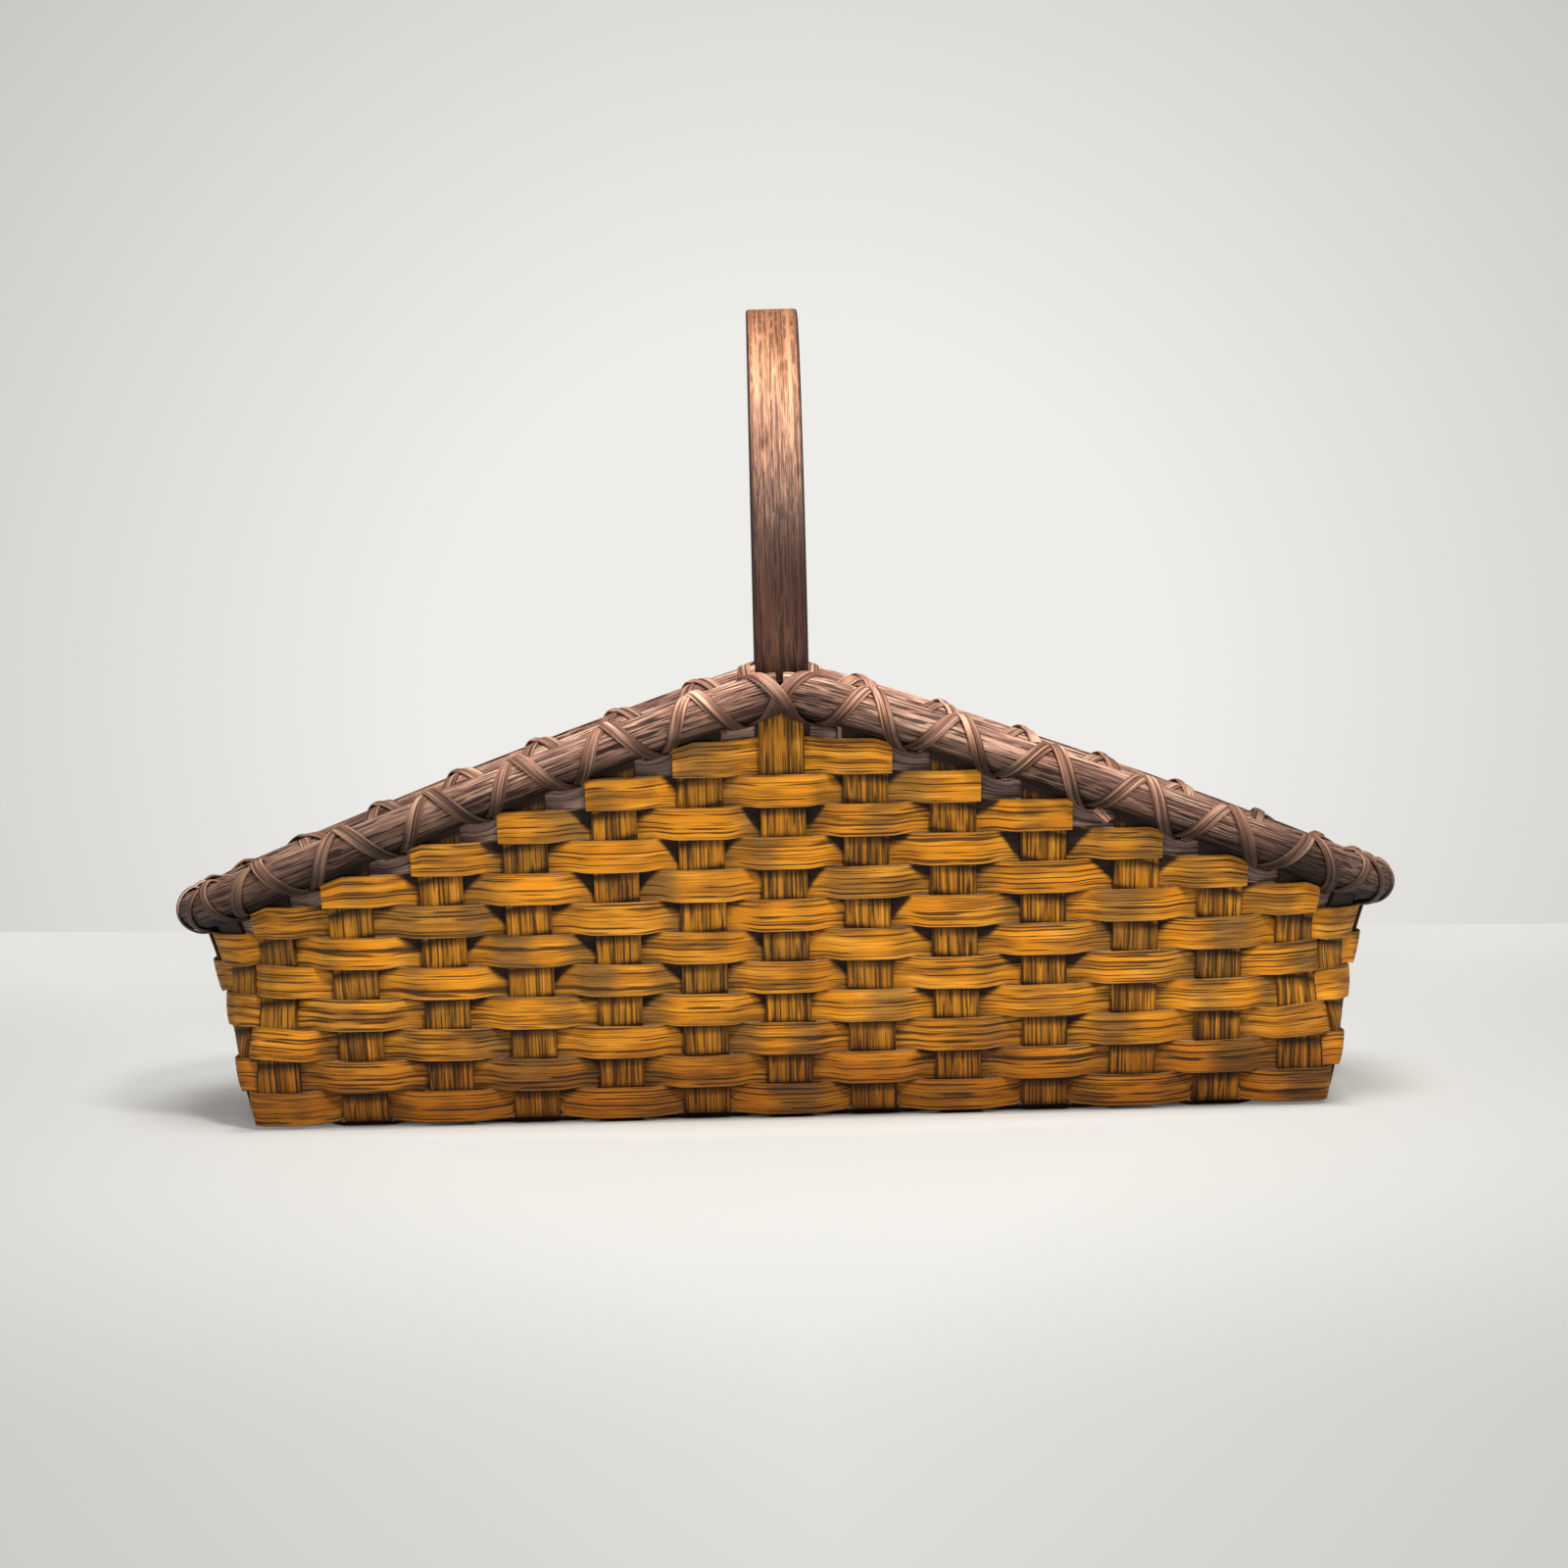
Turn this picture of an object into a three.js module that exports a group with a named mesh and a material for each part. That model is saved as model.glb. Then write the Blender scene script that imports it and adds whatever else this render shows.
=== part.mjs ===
// Gabled market basket: painted flat splints woven on a rounded oblong plan, half round rims
// that rise to a peak at the middle of both long sides, cross lashing and a bent hoop handle.
// Millimetres, +X along the length, the front faces -Y, +Z up, origin on the ground at the middle.
import * as THREE from 'three';

// Splints of the body
const stakeWidth = 19;
const stakeThickness = 1.8;
const weaverWidth = 12.5;
const weaverThickness = 1.5;
const rowGap = 0.4;
const clearance = 0.3;

// Weave: stakes across the base, stakes along it, rows all round, rows that fill each gable
const crossStakeCount = 13;
const longStakeCount = 5;
const crossPitch = 35.2;
const longPitch = 39;
const fullRowCount = 6;
const fillerRowCount = 6;
const fillerEndPast = 1;
const fillerRoom = 0.6;

// Base and walls
const endMargin = 3.5;
const sideMargin = 6;
const bendRadius = 2.5;
const endWallLean = 0.275;
const sideWallLean = 0.17;
const stakeFan = 0.0002;
const baseCornerRadius = 6;
const rimCornerRadius = 75;
const lowestRowHeight = 2;

// Rims
const rimHeight = 17;
const rimDepth = 8.5;
const rimJointGap = 1.6;
const peakAboveRows = 10.5;
const endAboveRows = 1.2;
const gableSlope = 0.31;
const gableRounding = 13;
const stakeTopBelowRim = 3.5;

// Lashing
const lashWidth = 5.6;
const lashThickness = 1.2;
const lashSlack = 0.7;
const lashTailStake = 10.5;

// Handle
const handleWidth = 22;
const handleThickness = 5;
const legThickness = 3;
const handleTop = 339;
const legFootHeight = 16;
const legSideRoom = 3;
const legSwingStakes = 1.1;

// Finishes
const mustardPaint = 0xb9801f;
const agedPaint = 0xa06f22;
const walnutStain = 0x6f5245;
const lashStain = 0x80604f;
const handleStain = 0x8a6450;

// Counts and levels that follow from the sizes above
const middleCross = (crossStakeCount + 1) / 2;
const middleLong = (longStakeCount + 1) / 2;
const perimeterCount = 2 * (crossStakeCount + longStakeCount);
const rightMiddle = crossStakeCount + middleLong;
const backMiddle = middleCross + perimeterCount / 2;
const rowPitch = weaverWidth + rowGap;
const rowOffset = stakeThickness / 2 + clearance + weaverThickness / 2;
const baseLevel = stakeThickness * 1.5 + clearance;
const baseWave = stakeThickness + clearance;
const baseHalfLength = (middleCross - 1) * crossPitch + stakeWidth / 2 + endMargin;
const baseHalfDepth = (middleLong - 1) * longPitch + stakeWidth / 2 + sideMargin;
const rowTop = (row) => lowestRowHeight + (row - 1) * rowPitch + weaverWidth;
const endRimLevel = rowTop(fullRowCount) + endAboveRows + rimHeight / 2;
const peakRimLevel = rowTop(fullRowCount + fillerRowCount) + peakAboveRows + rimHeight / 2;
const lashRoom = 2 * (lashThickness + lashSlack) + 4 * clearance;
const outerFlat = stakeThickness / 2 + clearance;
const innerFlat = outerFlat + stakeWidth ** 2 / 8 / rimCornerRadius + clearance / 2;
const levelPasses = 12;

// Plan of the wall's middle surface at a height: half length, half depth and corner radius
function planAt(height) {
  const growth = THREE.MathUtils.smoothstep(height, baseLevel + bendRadius, rowTop(fullRowCount));
  return {
    length: baseHalfLength + endWallLean * height,
    depth: baseHalfDepth + sideWallLean * height,
    radius: baseCornerRadius + (rimCornerRadius - baseCornerRadius) * growth,
  };
}

// Arc length from the middle of a long side to the middle of an end
function quarterLength(height) {
  const plan = planAt(height);
  return plan.length + plan.depth - 2 * plan.radius + plan.radius * Math.PI / 2;
}

// Point of the wall at an arc length from the front's middle towards the right end
function wallQuarter(arc, height) {
  const plan = planAt(height);
  const straight = plan.length - plan.radius;
  if (arc <= straight) {
    return new THREE.Vector3(arc, -plan.depth, height);
  }
  const angle = (arc - straight) / plan.radius;
  if (angle <= Math.PI / 2) {
    return new THREE.Vector3(
      straight + plan.radius * Math.sin(angle),
      -(plan.depth - plan.radius + plan.radius * Math.cos(angle)),
      height,
    );
  }
  const past = (angle - Math.PI / 2) * plan.radius;
  return new THREE.Vector3(plan.length, -(plan.depth - plan.radius) + past, height);
}

// Arc length of a stake place, whole or between two stakes, within the front's right quarter
function quarterArc(place, height) {
  const fan = 1 + stakeFan * height;
  const lastFront = (crossStakeCount - middleCross) * crossPitch * fan;
  const firstEnd = quarterLength(height) - (middleLong - 1) * longPitch * fan;
  if (place <= crossStakeCount) {
    return (place - middleCross) * crossPitch * fan;
  }
  if (place >= crossStakeCount + 1) {
    return quarterLength(height) - (rightMiddle - place) * longPitch * fan;
  }
  return lastFront + (firstEnd - lastFront) * (place - crossStakeCount);
}

// Point of the wall beside any stake place; the places run round the basket, 1 at the front left
function wallPoint(place, shift, height) {
  let turn = (place - middleCross) % perimeterCount;
  if (turn < 0) {
    turn += perimeterCount;
  }
  const half = perimeterCount / 2;
  const quarter = rightMiddle - middleCross;
  const behind = turn > quarter && turn <= half + quarter;
  const fromFront = behind ? half - turn : (turn > half ? turn - perimeterCount : turn);
  const side = behind ? -1 : 1;
  const arc = Math.sign(fromFront || 1) * quarterArc(middleCross + Math.abs(fromFront), height);
  const moved = arc + side * shift;
  const point = wallQuarter(Math.abs(moved), height);
  if (moved < 0) {
    point.x = -point.x;
  }
  if (behind) {
    point.y = -point.y;
  }
  return point;
}

// Both edges of a flat stake at a height and the direction that its outer face looks
function stakeFrame(place, height) {
  const step = 0.5;
  const start = wallPoint(place, -stakeWidth / 2, height);
  const end = wallPoint(place, stakeWidth / 2, height);
  const above = wallPoint(place, 0, height + step);
  const below = wallPoint(place, 0, height);
  const along = end.clone().sub(start);
  const up = above.sub(below);
  const outward = along.cross(up).normalize();
  return { start, end, outward };
}

// Height of the rims' middle line over a distance from the basket's middle
function rimLevel(distance) {
  const reach = baseHalfLength + endWallLean * endRimLevel;
  const slope = (x) => gableSlope * (Math.hypot(x, gableRounding) - gableRounding);
  const droop = (peakRimLevel - slope(reach) - endRimLevel) / (reach * reach);
  return peakRimLevel - slope(distance) - droop * distance * distance;
}

// Point of the rims' middle line at a stake place
function rimPoint(place) {
  let height = peakRimLevel;
  let point = wallPoint(place, 0, height);
  for (let pass = 0; pass < levelPasses; pass += 1) {
    height = rimLevel(point.x);
    point = wallPoint(place, 0, height);
  }
  return point;
}

// Axes of the rims' section at a stake place: along the rim, outward and up the wall
function rimFrame(place) {
  const step = 0.02;
  const point = rimPoint(place);
  const along = rimPoint(place + step).sub(rimPoint(place - step)).normalize();
  const rise = wallPoint(place, 0, point.z + 1).sub(point);
  const outward = along.clone().cross(rise).normalize();
  const up = outward.clone().cross(along).normalize();
  return { point, along, outward, up };
}

// One closed solid through a row of sections that have the same number of points
function loft(sections, isRing = false) {
  const count = sections[0].length;
  const positions = [];
  sections.forEach((section) => section.forEach((point) => positions.push(point.x, point.y, point.z)));
  const faces = [];
  const at = (index) => new THREE.Vector3().fromArray(positions, index * 3);
  const spread = (first, second) => at(first).add(at(second)).setZ(0).length();
  const last = isRing ? sections.length : sections.length - 1;
  for (let index = 0; index < last; index += 1) {
    const here = index * count;
    const next = ((index + 1) % sections.length) * count;
    for (let corner = 0; corner < count; corner += 1) {
      const beside = (corner + 1) % count;
      const ring = [here + corner, here + beside, next + beside, next + corner];
      // A twisted face folds along its outer diagonal, so that splints on each other fold alike
      if (spread(ring[1], ring[3]) > spread(ring[0], ring[2])) {
        ring.push(ring.shift());
      }
      faces.push([ring[0], ring[1], ring[2]], [ring[0], ring[2], ring[3]]);
    }
  }
  if (!isRing) {
    const far = (sections.length - 1) * count;
    for (let corner = 1; corner < count - 1; corner += 1) {
      faces.push([0, corner + 1, corner]);
      faces.push([far, far + corner, far + corner + 1]);
    }
  }
  const volume = faces.reduce((sum, face) => sum + at(face[0]).dot(at(face[1]).cross(at(face[2]))), 0);
  if (volume < 0) {
    faces.forEach((face) => face.reverse());
  }
  const geometry = new THREE.BufferGeometry();
  geometry.setAttribute('position', new THREE.Float32BufferAttribute(positions, 3));
  geometry.setIndex(faces.flat());
  geometry.computeVertexNormals();
  return geometry;
}

const basket = new THREE.Group();
basket.name = 'basket';

function addPiece(name, geometry, color, roughness = 0.7) {
  const material = new THREE.MeshStandardMaterial({ color, roughness, metalness: 0 });
  const mesh = new THREE.Mesh(geometry, material);
  mesh.name = name;
  basket.add(mesh);
}

// Section of a flat stake between its two edges
function stakeSection(start, end, outward) {
  const half = outward.clone().multiplyScalar(stakeThickness / 2);
  return [
    start.clone().add(half),
    end.clone().add(half),
    end.clone().sub(half),
    start.clone().sub(half),
  ];
}

// Whether a stake stands where the rims' plan is round
function isInCorner(place) {
  const plan = planAt(endRimLevel);
  const edges = [-1, 1].map((edge) => wallPoint(place, edge * stakeWidth / 2, endRimLevel));
  const isPastSide = edges.some((edge) => Math.abs(edge.x) > plan.length - plan.radius);
  return isPastSide && edges.some((edge) => Math.abs(edge.y) > plan.depth - plan.radius);
}

// Height at which a stake's edge is cut off between the rims
function stakeTopAt(place, shift) {
  let height = endRimLevel;
  for (let pass = 0; pass < levelPasses; pass += 1) {
    height = rimLevel(wallPoint(place, shift, height).x) + rimHeight / 2 - stakeTopBelowRim;
  }
  return height;
}

// Sections of one wall leg of a stake from its top edge down to where the bend starts, with one
// between every two rows where the plan is curved, so that stake and weavers turn alike
function wallLegSections(place, bendTop) {
  const topStart = stakeTopAt(place, -stakeWidth / 2);
  const topEnd = stakeTopAt(place, stakeWidth / 2);
  const lowerTop = Math.min(topStart, topEnd);
  const heights = [];
  if (isInCorner(place)) {
    for (let row = 1; rowTop(row) + rowPitch / 2 < lowerTop; row += 1) {
      heights.push(rowTop(row) + rowGap / 2);
    }
  }
  const topFrame = stakeFrame(place, lowerTop);
  const startTop = wallPoint(place, -stakeWidth / 2, topStart);
  const endTop = wallPoint(place, stakeWidth / 2, topEnd);
  const sections = [stakeSection(startTop, endTop, topFrame.outward)];
  for (const height of [...heights.reverse(), bendTop]) {
    const frame = stakeFrame(place, height);
    sections.push(stakeSection(frame.start, frame.end, frame.outward));
  }
  return sections;
}

// Sections of the bend between a wall leg and the base; inward points along the base stretch
function bendSections(place, level, inward, startLine, endLine) {
  const bendTop = level + bendRadius;
  const down = new THREE.Vector3(0, 0, -1);
  const wall = stakeFrame(place, bendTop);
  const corner = (shift) => wallPoint(place, shift, 0).setZ(level);
  const edges = [
    { wall: wall.start, corner: corner(-stakeWidth / 2), line: startLine },
    { wall: wall.end, corner: corner(stakeWidth / 2), line: endLine },
  ];
  const sections = [];
  for (const share of [1 / 3, 2 / 3, 1]) {
    const points = edges.map((edge) => {
      const base = edge.corner.clone().addScaledVector(inward, bendRadius);
      edge.line(base);
      const first = edge.wall.clone().lerp(edge.corner, share);
      return first.lerp(edge.corner.clone().lerp(base, share), share);
    });
    const outward = wall.outward.clone().lerp(down, share).normalize();
    sections.push(stakeSection(points[0], points[1], outward));
  }
  return sections;
}

// A stake across the base that turns up into the front and the back wall
function crossStake(index) {
  const x = (index - middleCross) * crossPitch;
  const left = (point) => point.setX(x - stakeWidth / 2);
  const right = (point) => point.setX(x + stakeWidth / 2);
  const backPlace = 2 * rightMiddle - index;
  const toBack = new THREE.Vector3(0, 1, 0);
  const toFront = new THREE.Vector3(0, -1, 0);
  const bendTop = baseLevel + bendRadius;
  const front = wallLegSections(index, bendTop);
  const frontBend = bendSections(index, baseLevel, toBack, left, right);
  const back = wallLegSections(backPlace, bendTop);
  const backBend = bendSections(backPlace, baseLevel, toFront, right, left);
  // The back leg is met from the other side, so its section points are taken in that order
  const turned = [...back, ...backBend].map((points) => [points[1], points[0], points[3], points[2]]);
  return loft([...front, ...frontBend, ...turned.reverse()]);
}

// A stake along the base that waves round the cross stakes and turns up into both ends
function longStake(index) {
  const y = (index - middleLong) * longPitch;
  const levelAt = (cross) => baseLevel + ((index + cross) % 2 === 0 ? baseWave : -baseWave);
  const rightPlace = crossStakeCount + index;
  const leftPlace = perimeterCount + 1 - index;
  const near = (point) => point.setY(y - stakeWidth / 2);
  const far = (point) => point.setY(y + stakeWidth / 2);
  const firstLevel = levelAt(1);
  const lastLevel = levelAt(crossStakeCount);
  const toRight = new THREE.Vector3(1, 0, 0);
  const toLeft = new THREE.Vector3(-1, 0, 0);
  const down = new THREE.Vector3(0, 0, -1);
  const left = [
    ...wallLegSections(leftPlace, firstLevel + bendRadius),
    ...bendSections(leftPlace, firstLevel, toRight, far, near),
  ].map((points) => [points[1], points[0], points[3], points[2]]);
  const base = [];
  for (let cross = 1; cross <= crossStakeCount; cross += 1) {
    const x = (cross - middleCross) * crossPitch;
    for (const edge of [-1, 1]) {
      const isEnd = (cross === 1 && edge < 0) || (cross === crossStakeCount && edge > 0);
      if (!isEnd) {
        const place = new THREE.Vector3(x + edge * stakeWidth / 2, y, levelAt(cross));
        base.push(stakeSection(near(place.clone()), far(place.clone()), down));
      }
    }
  }
  const right = [
    ...wallLegSections(rightPlace, lastLevel + bendRadius),
    ...bendSections(rightPlace, lastLevel, toLeft, near, far),
  ].reverse();
  return loft([...left, ...base, ...right]);
}

// Level step that moves a point a unit off a stake's face, so that a row keeps its heights
function levelStep(frame) {
  const level = frame.outward.clone().setZ(0);
  return level.divideScalar(level.lengthSq());
}

// Section of a weaver beside a stake's edge, cut back where the rim or its lashing is in the way
function weaverSection(place, shift, bottom, top, isOutside, rimRoom) {
  const offset = isOutside ? rowOffset : -rowOffset;
  const half = weaverThickness / 2;
  const slope = Math.atan(gableSlope);
  const rimUnderside = rimLevel(wallPoint(place, shift, top).x) - rimHeight / 2 / Math.cos(slope);
  const cutTop = Math.min(top, rimUnderside - rimRoom);
  const low = levelStep(stakeFrame(place, bottom));
  const high = levelStep(stakeFrame(place, cutTop));
  const lowPoint = wallPoint(place, shift, bottom);
  const highPoint = wallPoint(place, shift, cutTop);
  return [
    lowPoint.clone().addScaledVector(low, offset + half),
    highPoint.clone().addScaledVector(high, offset + half),
    highPoint.clone().addScaledVector(high, offset - half),
    lowPoint.clone().addScaledVector(low, offset - half),
  ];
}

// The lowest row rides over the stakes' bends wherever it passes inside them
function rowBottom(row, place, isOutside) {
  const bottom = lowestRowHeight + (row - 1) * rowPitch;
  if (row > 1 || isOutside) {
    return bottom;
  }
  const isRightEnd = place > crossStakeCount && place <= crossStakeCount + longStakeCount;
  const isEnd = isRightEnd || place > perimeterCount - longStakeCount;
  return baseLevel + bendRadius + (isEnd ? baseWave : 0);
}

// A row that goes all the way round
function fullRow(row) {
  const sections = [];
  for (let place = 1; place <= perimeterCount; place += 1) {
    const isOutside = (place + row) % 2 === 0;
    const bottom = rowBottom(row, place, isOutside);
    for (const edge of [-1, 1]) {
      const shift = edge * (stakeWidth / 2 + clearance);
      sections.push(weaverSection(place, shift, bottom, rowTop(row), isOutside, lashRoom));
    }
  }
  return loft(sections, true);
}

// A row that fills the gable and ends one stake further in than the row below it
function fillerRow(row, centre) {
  const reach = middleCross - 1 - (row - fullRowCount - 1);
  const bottom = lowestRowHeight + (row - 1) * rowPitch;
  const sections = [];
  for (let step = -reach; step <= reach; step += 1) {
    const isOutside = (middleCross + step + row) % 2 === 0;
    for (const edge of [-1, 1]) {
      const isTail = step === edge * reach;
      const shift = edge * (stakeWidth / 2 + (isTail ? fillerEndPast : clearance));
      sections.push(weaverSection(centre + step, shift, bottom, rowTop(row), isOutside, fillerRoom));
    }
  }
  return loft(sections);
}

// How far the inner rim stands off the wall where it passes inside a handle leg
function legStandOff(place) {
  const full = legThickness + weaverThickness + 2 * clearance;
  const half = perimeterCount / 2;
  const turn = Math.abs(((place - middleCross) % half + half * 1.5) % half - half / 2);
  const wideEnd = (handleWidth / 2 + legSideRoom) / crossPitch;
  const share = THREE.MathUtils.smoothstep(turn, wideEnd, wideEnd + legSwingStakes);
  return full * (1 - share);
}

// Half round rim rod on one side of the wall, from one peak round an end to the other peak
const rimCorners = 4;
function rimRod(firstPeak, side) {
  const places = [];
  const endGap = rimJointGap / 2 / crossPitch;
  const half = perimeterCount / 2;
  const quarter = rightMiddle - middleCross;
  const nearPeak = [endGap, 0.45, 0.7, 0.95, 1.2, 1.5, 2, 3, 4];
  nearPeak.forEach((step) => places.push(step));
  for (let step = 5; step < quarter; step += 0.25) {
    places.push(step);
  }
  const back = places.map((step) => half - step).reverse();
  const sections = [...places, quarter, ...back].map((step) => {
    const place = firstPeak + step;
    const frame = rimFrame(place);
    const flat = side > 0 ? outerFlat : innerFlat + legStandOff(place);
    const points = [];
    for (let corner = 0; corner <= rimCorners; corner += 1) {
      const angle = -Math.PI / 2 + Math.PI * corner / rimCorners;
      const reach = side * (flat + rimDepth * Math.cos(angle));
      const rise = rimHeight / 2 * Math.sin(angle);
      points.push(frame.point.clone().addScaledVector(frame.outward, reach).addScaledVector(frame.up, rise));
    }
    return points;
  });
  return loft(sections);
}

// Place of a lashing strand round the rims' section, for an angle in eighths of a turn from below
function lashPoint(frame, place, eighth, lift) {
  const cornerOffset = (lashSlack + lashThickness / 2 + lift) / Math.cos(Math.PI / 8);
  const legFlat = innerFlat + legStandOff(place);
  const angle = -Math.PI / 2 + eighth * Math.PI / 4;
  const edgeRise = rimHeight / 2 + lashSlack + lashThickness / 2 + lift;
  const sideAt = (quarterAngle, flat) => ({
    reach: flat + (rimDepth + cornerOffset) * Math.cos(quarterAngle),
    rise: (rimHeight / 2 + cornerOffset) * Math.sin(quarterAngle),
  });
  let reach;
  let rise;
  const facing = new THREE.Vector3();
  if (eighth % 4 === 0) {
    // Over the top and under the bottom the strand spans both rods and the wall between them
    const shoulder = sideAt(Math.PI / 4, outerFlat);
    const middle = (outerFlat - legFlat) / 2;
    const spans = [outerFlat, legFlat].map((flat) => {
      const far = sideAt(Math.PI / 4, flat);
      const width = far.reach - flat;
      return far.rise + (edgeRise - far.rise) * (width + (outerFlat + legFlat) / 2) / width;
    });
    const sign = eighth % 8 === 0 ? -1 : 1;
    reach = middle;
    rise = sign * Math.max(...spans, shoulder.rise);
    facing.copy(frame.up).multiplyScalar(sign);
  } else {
    const isOuter = Math.cos(angle) > 0;
    const flat = isOuter ? outerFlat : legFlat;
    const local = sideAt(isOuter ? angle : Math.PI - angle, flat);
    reach = isOuter ? local.reach : -local.reach;
    rise = local.rise;
    facing.addScaledVector(frame.outward, Math.cos(angle)).addScaledVector(frame.up, Math.sin(angle));
  }
  const point = frame.point.clone().addScaledVector(frame.outward, reach).addScaledVector(frame.up, rise);
  return { point, facing };
}

// A flat lashing strand: one turn for each stake, over the top at the stake and under the rims
// in the gap between two stakes. The first hand climbs the outer face, the other the inner face
// and lies over the first wherever they cross.
function lashing(hand) {
  const nodes = [];
  const turns = perimeterCount;
  for (let node = 0; node < turns * 8; node += 1) {
    const turn = Math.floor(node / 8);
    const eighth = node % 8;
    const stake = Math.round(lashTailStake + 0.5) + turn;
    const fromPeak = (stake - middleCross) % (perimeterCount / 2);
    const isNearPeak = fromPeak <= 1 || fromPeak === perimeterCount / 2 - 1;
    const topShift = fromPeak === 0 ? hand * 0.5 : 0;
    const progress = eighth <= 4
      ? -0.5 + (0.5 + topShift) * eighth / 4
      : topShift + (0.5 - topShift) * (eighth - 4) / 4;
    const place = stake + progress;
    const angleEighth = hand > 0 ? eighth : (8 - eighth) % 8;
    const isPressed = hand > 0 || (eighth % 4 === 2 && !isNearPeak);
    const lift = isPressed ? 0 : lashThickness + lashSlack;
    const slide = rimHeight / 2 * rimFrame(place).along.z / crossPitch;
    const frame = rimFrame(place - slide);
    nodes.push({ ...lashPoint(frame, place - slide, angleEighth, lift), axis: frame.along });
  }
  const sections = nodes.map((node, index) => {
    const before = nodes[Math.max(index - 1, 0)].point;
    const after = nodes[Math.min(index + 1, nodes.length - 1)].point;
    // The strand is cut along the rim, so that each of its faces lies flat on one of the rim's
    const along = after.clone().sub(before).normalize();
    const skew = Math.max(along.cross(node.axis).length(), 0.5);
    const corner = (sideways, outward) => node.point.clone()
      .addScaledVector(node.axis, sideways * lashWidth / 2 / skew)
      .addScaledVector(node.facing, outward * lashThickness / 2 / Math.cos(Math.PI / 8));
    return [corner(-1, 1), corner(1, 1), corner(1, -1), corner(-1, -1)];
  });
  return loft(sections);
}

// Flat hoop: two legs down the inside of the long walls, joined by an arc over the basket
function handle() {
  const lean = Math.atan(sideWallLean);
  const legOffset = rowOffset + weaverThickness / 2 + clearance + legThickness / 2;
  const legFoot = baseHalfDepth - legOffset / Math.cos(lean);
  const arcTop = handleTop - handleThickness / 2;
  const arcRadius = (legFoot + sideWallLean * arcTop)
    / (Math.cos(lean) + sideWallLean * (1 + Math.sin(lean)));
  const arcCentre = arcTop - arcRadius;
  const joinHeight = arcCentre - arcRadius * Math.sin(lean);
  const arcSteps = 28;
  const path = [];
  const rimTop = peakRimLevel + rimHeight / 2 + lashRoom;
  const legHeights = [legFootHeight, Math.min(rimTop, joinHeight - handleThickness), joinHeight];
  const addLeg = (side, heights) => heights.forEach((height) => path.push({
    point: new THREE.Vector3(0, side * (legFoot + sideWallLean * height), height),
    facing: new THREE.Vector3(0, side * Math.cos(lean), -Math.sin(lean)),
    thickness: height < joinHeight ? legThickness : handleThickness,
  }));
  addLeg(-1, legHeights);
  for (let step = 1; step < arcSteps; step += 1) {
    const angle = -lean + (Math.PI + 2 * lean) * step / arcSteps;
    const facing = new THREE.Vector3(0, -Math.cos(angle), Math.sin(angle));
    const point = facing.clone().multiplyScalar(arcRadius).setZ(arcCentre + arcRadius * Math.sin(angle));
    path.push({ point, facing, thickness: handleThickness });
  }
  addLeg(1, [...legHeights].reverse());
  const half = handleWidth / 2;
  const sections = path.map(({ point, facing, thickness }) => {
    const corner = (x, outward) => point.clone()
      .setX(x)
      .addScaledVector(facing, outward * thickness / 2);
    return [corner(-half, 1), corner(half, 1), corner(half, -1), corner(-half, -1)];
  });
  return loft(sections);
}

const number = (value) => String(value).padStart(2, '0');

for (let index = 1; index <= crossStakeCount; index += 1) {
  addPiece(`cross_stake_${number(index)}`, crossStake(index), agedPaint);
}
for (let index = 1; index <= longStakeCount; index += 1) {
  addPiece(`long_stake_${number(index)}`, longStake(index), agedPaint);
}
for (let row = 1; row <= fullRowCount; row += 1) {
  addPiece(`weaver_row_${number(row)}`, fullRow(row), mustardPaint);
}
for (let row = fullRowCount + 1; row <= fullRowCount + fillerRowCount; row += 1) {
  addPiece(`front_gable_row_${number(row)}`, fillerRow(row, middleCross), mustardPaint);
  addPiece(`back_gable_row_${number(row)}`, fillerRow(row, backMiddle), mustardPaint);
}
addPiece('outer_rim_right', rimRod(middleCross, 1), walnutStain);
addPiece('outer_rim_left', rimRod(backMiddle, 1), walnutStain);
addPiece('inner_rim_right', rimRod(middleCross, -1), walnutStain);
addPiece('inner_rim_left', rimRod(backMiddle, -1), walnutStain);
addPiece('lashing_under', lashing(1), lashStain);
addPiece('lashing_over', lashing(-1), lashStain);
addPiece('handle', handle(), handleStain, 0.55);

export default basket;
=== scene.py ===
# Oblong splint basket with gabled sides: splints, rims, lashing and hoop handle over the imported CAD
# Sizes are in millimetres and turned to metres where a mesh is laid out. The front faces -Y.
import math
import random
import bmesh
import bpy
from mathutils import Matrix, Vector, noise


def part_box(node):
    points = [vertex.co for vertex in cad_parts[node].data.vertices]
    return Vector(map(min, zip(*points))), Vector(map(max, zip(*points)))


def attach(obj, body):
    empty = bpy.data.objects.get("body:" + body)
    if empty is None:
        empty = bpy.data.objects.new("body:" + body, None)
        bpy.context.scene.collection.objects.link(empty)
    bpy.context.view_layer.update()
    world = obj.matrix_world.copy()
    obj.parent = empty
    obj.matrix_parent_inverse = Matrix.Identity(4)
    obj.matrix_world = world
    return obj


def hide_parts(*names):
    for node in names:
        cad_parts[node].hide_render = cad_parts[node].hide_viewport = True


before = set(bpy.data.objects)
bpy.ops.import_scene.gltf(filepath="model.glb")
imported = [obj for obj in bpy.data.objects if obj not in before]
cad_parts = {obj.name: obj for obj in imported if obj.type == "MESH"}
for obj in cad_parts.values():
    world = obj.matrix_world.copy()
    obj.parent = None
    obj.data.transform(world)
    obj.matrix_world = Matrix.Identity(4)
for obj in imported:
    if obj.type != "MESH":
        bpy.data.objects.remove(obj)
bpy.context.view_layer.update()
print("frame loaded:", len(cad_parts), "nodes")

mm = 0.001
random.seed(11)
collection = bpy.context.scene.collection


# Camera and light

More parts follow.
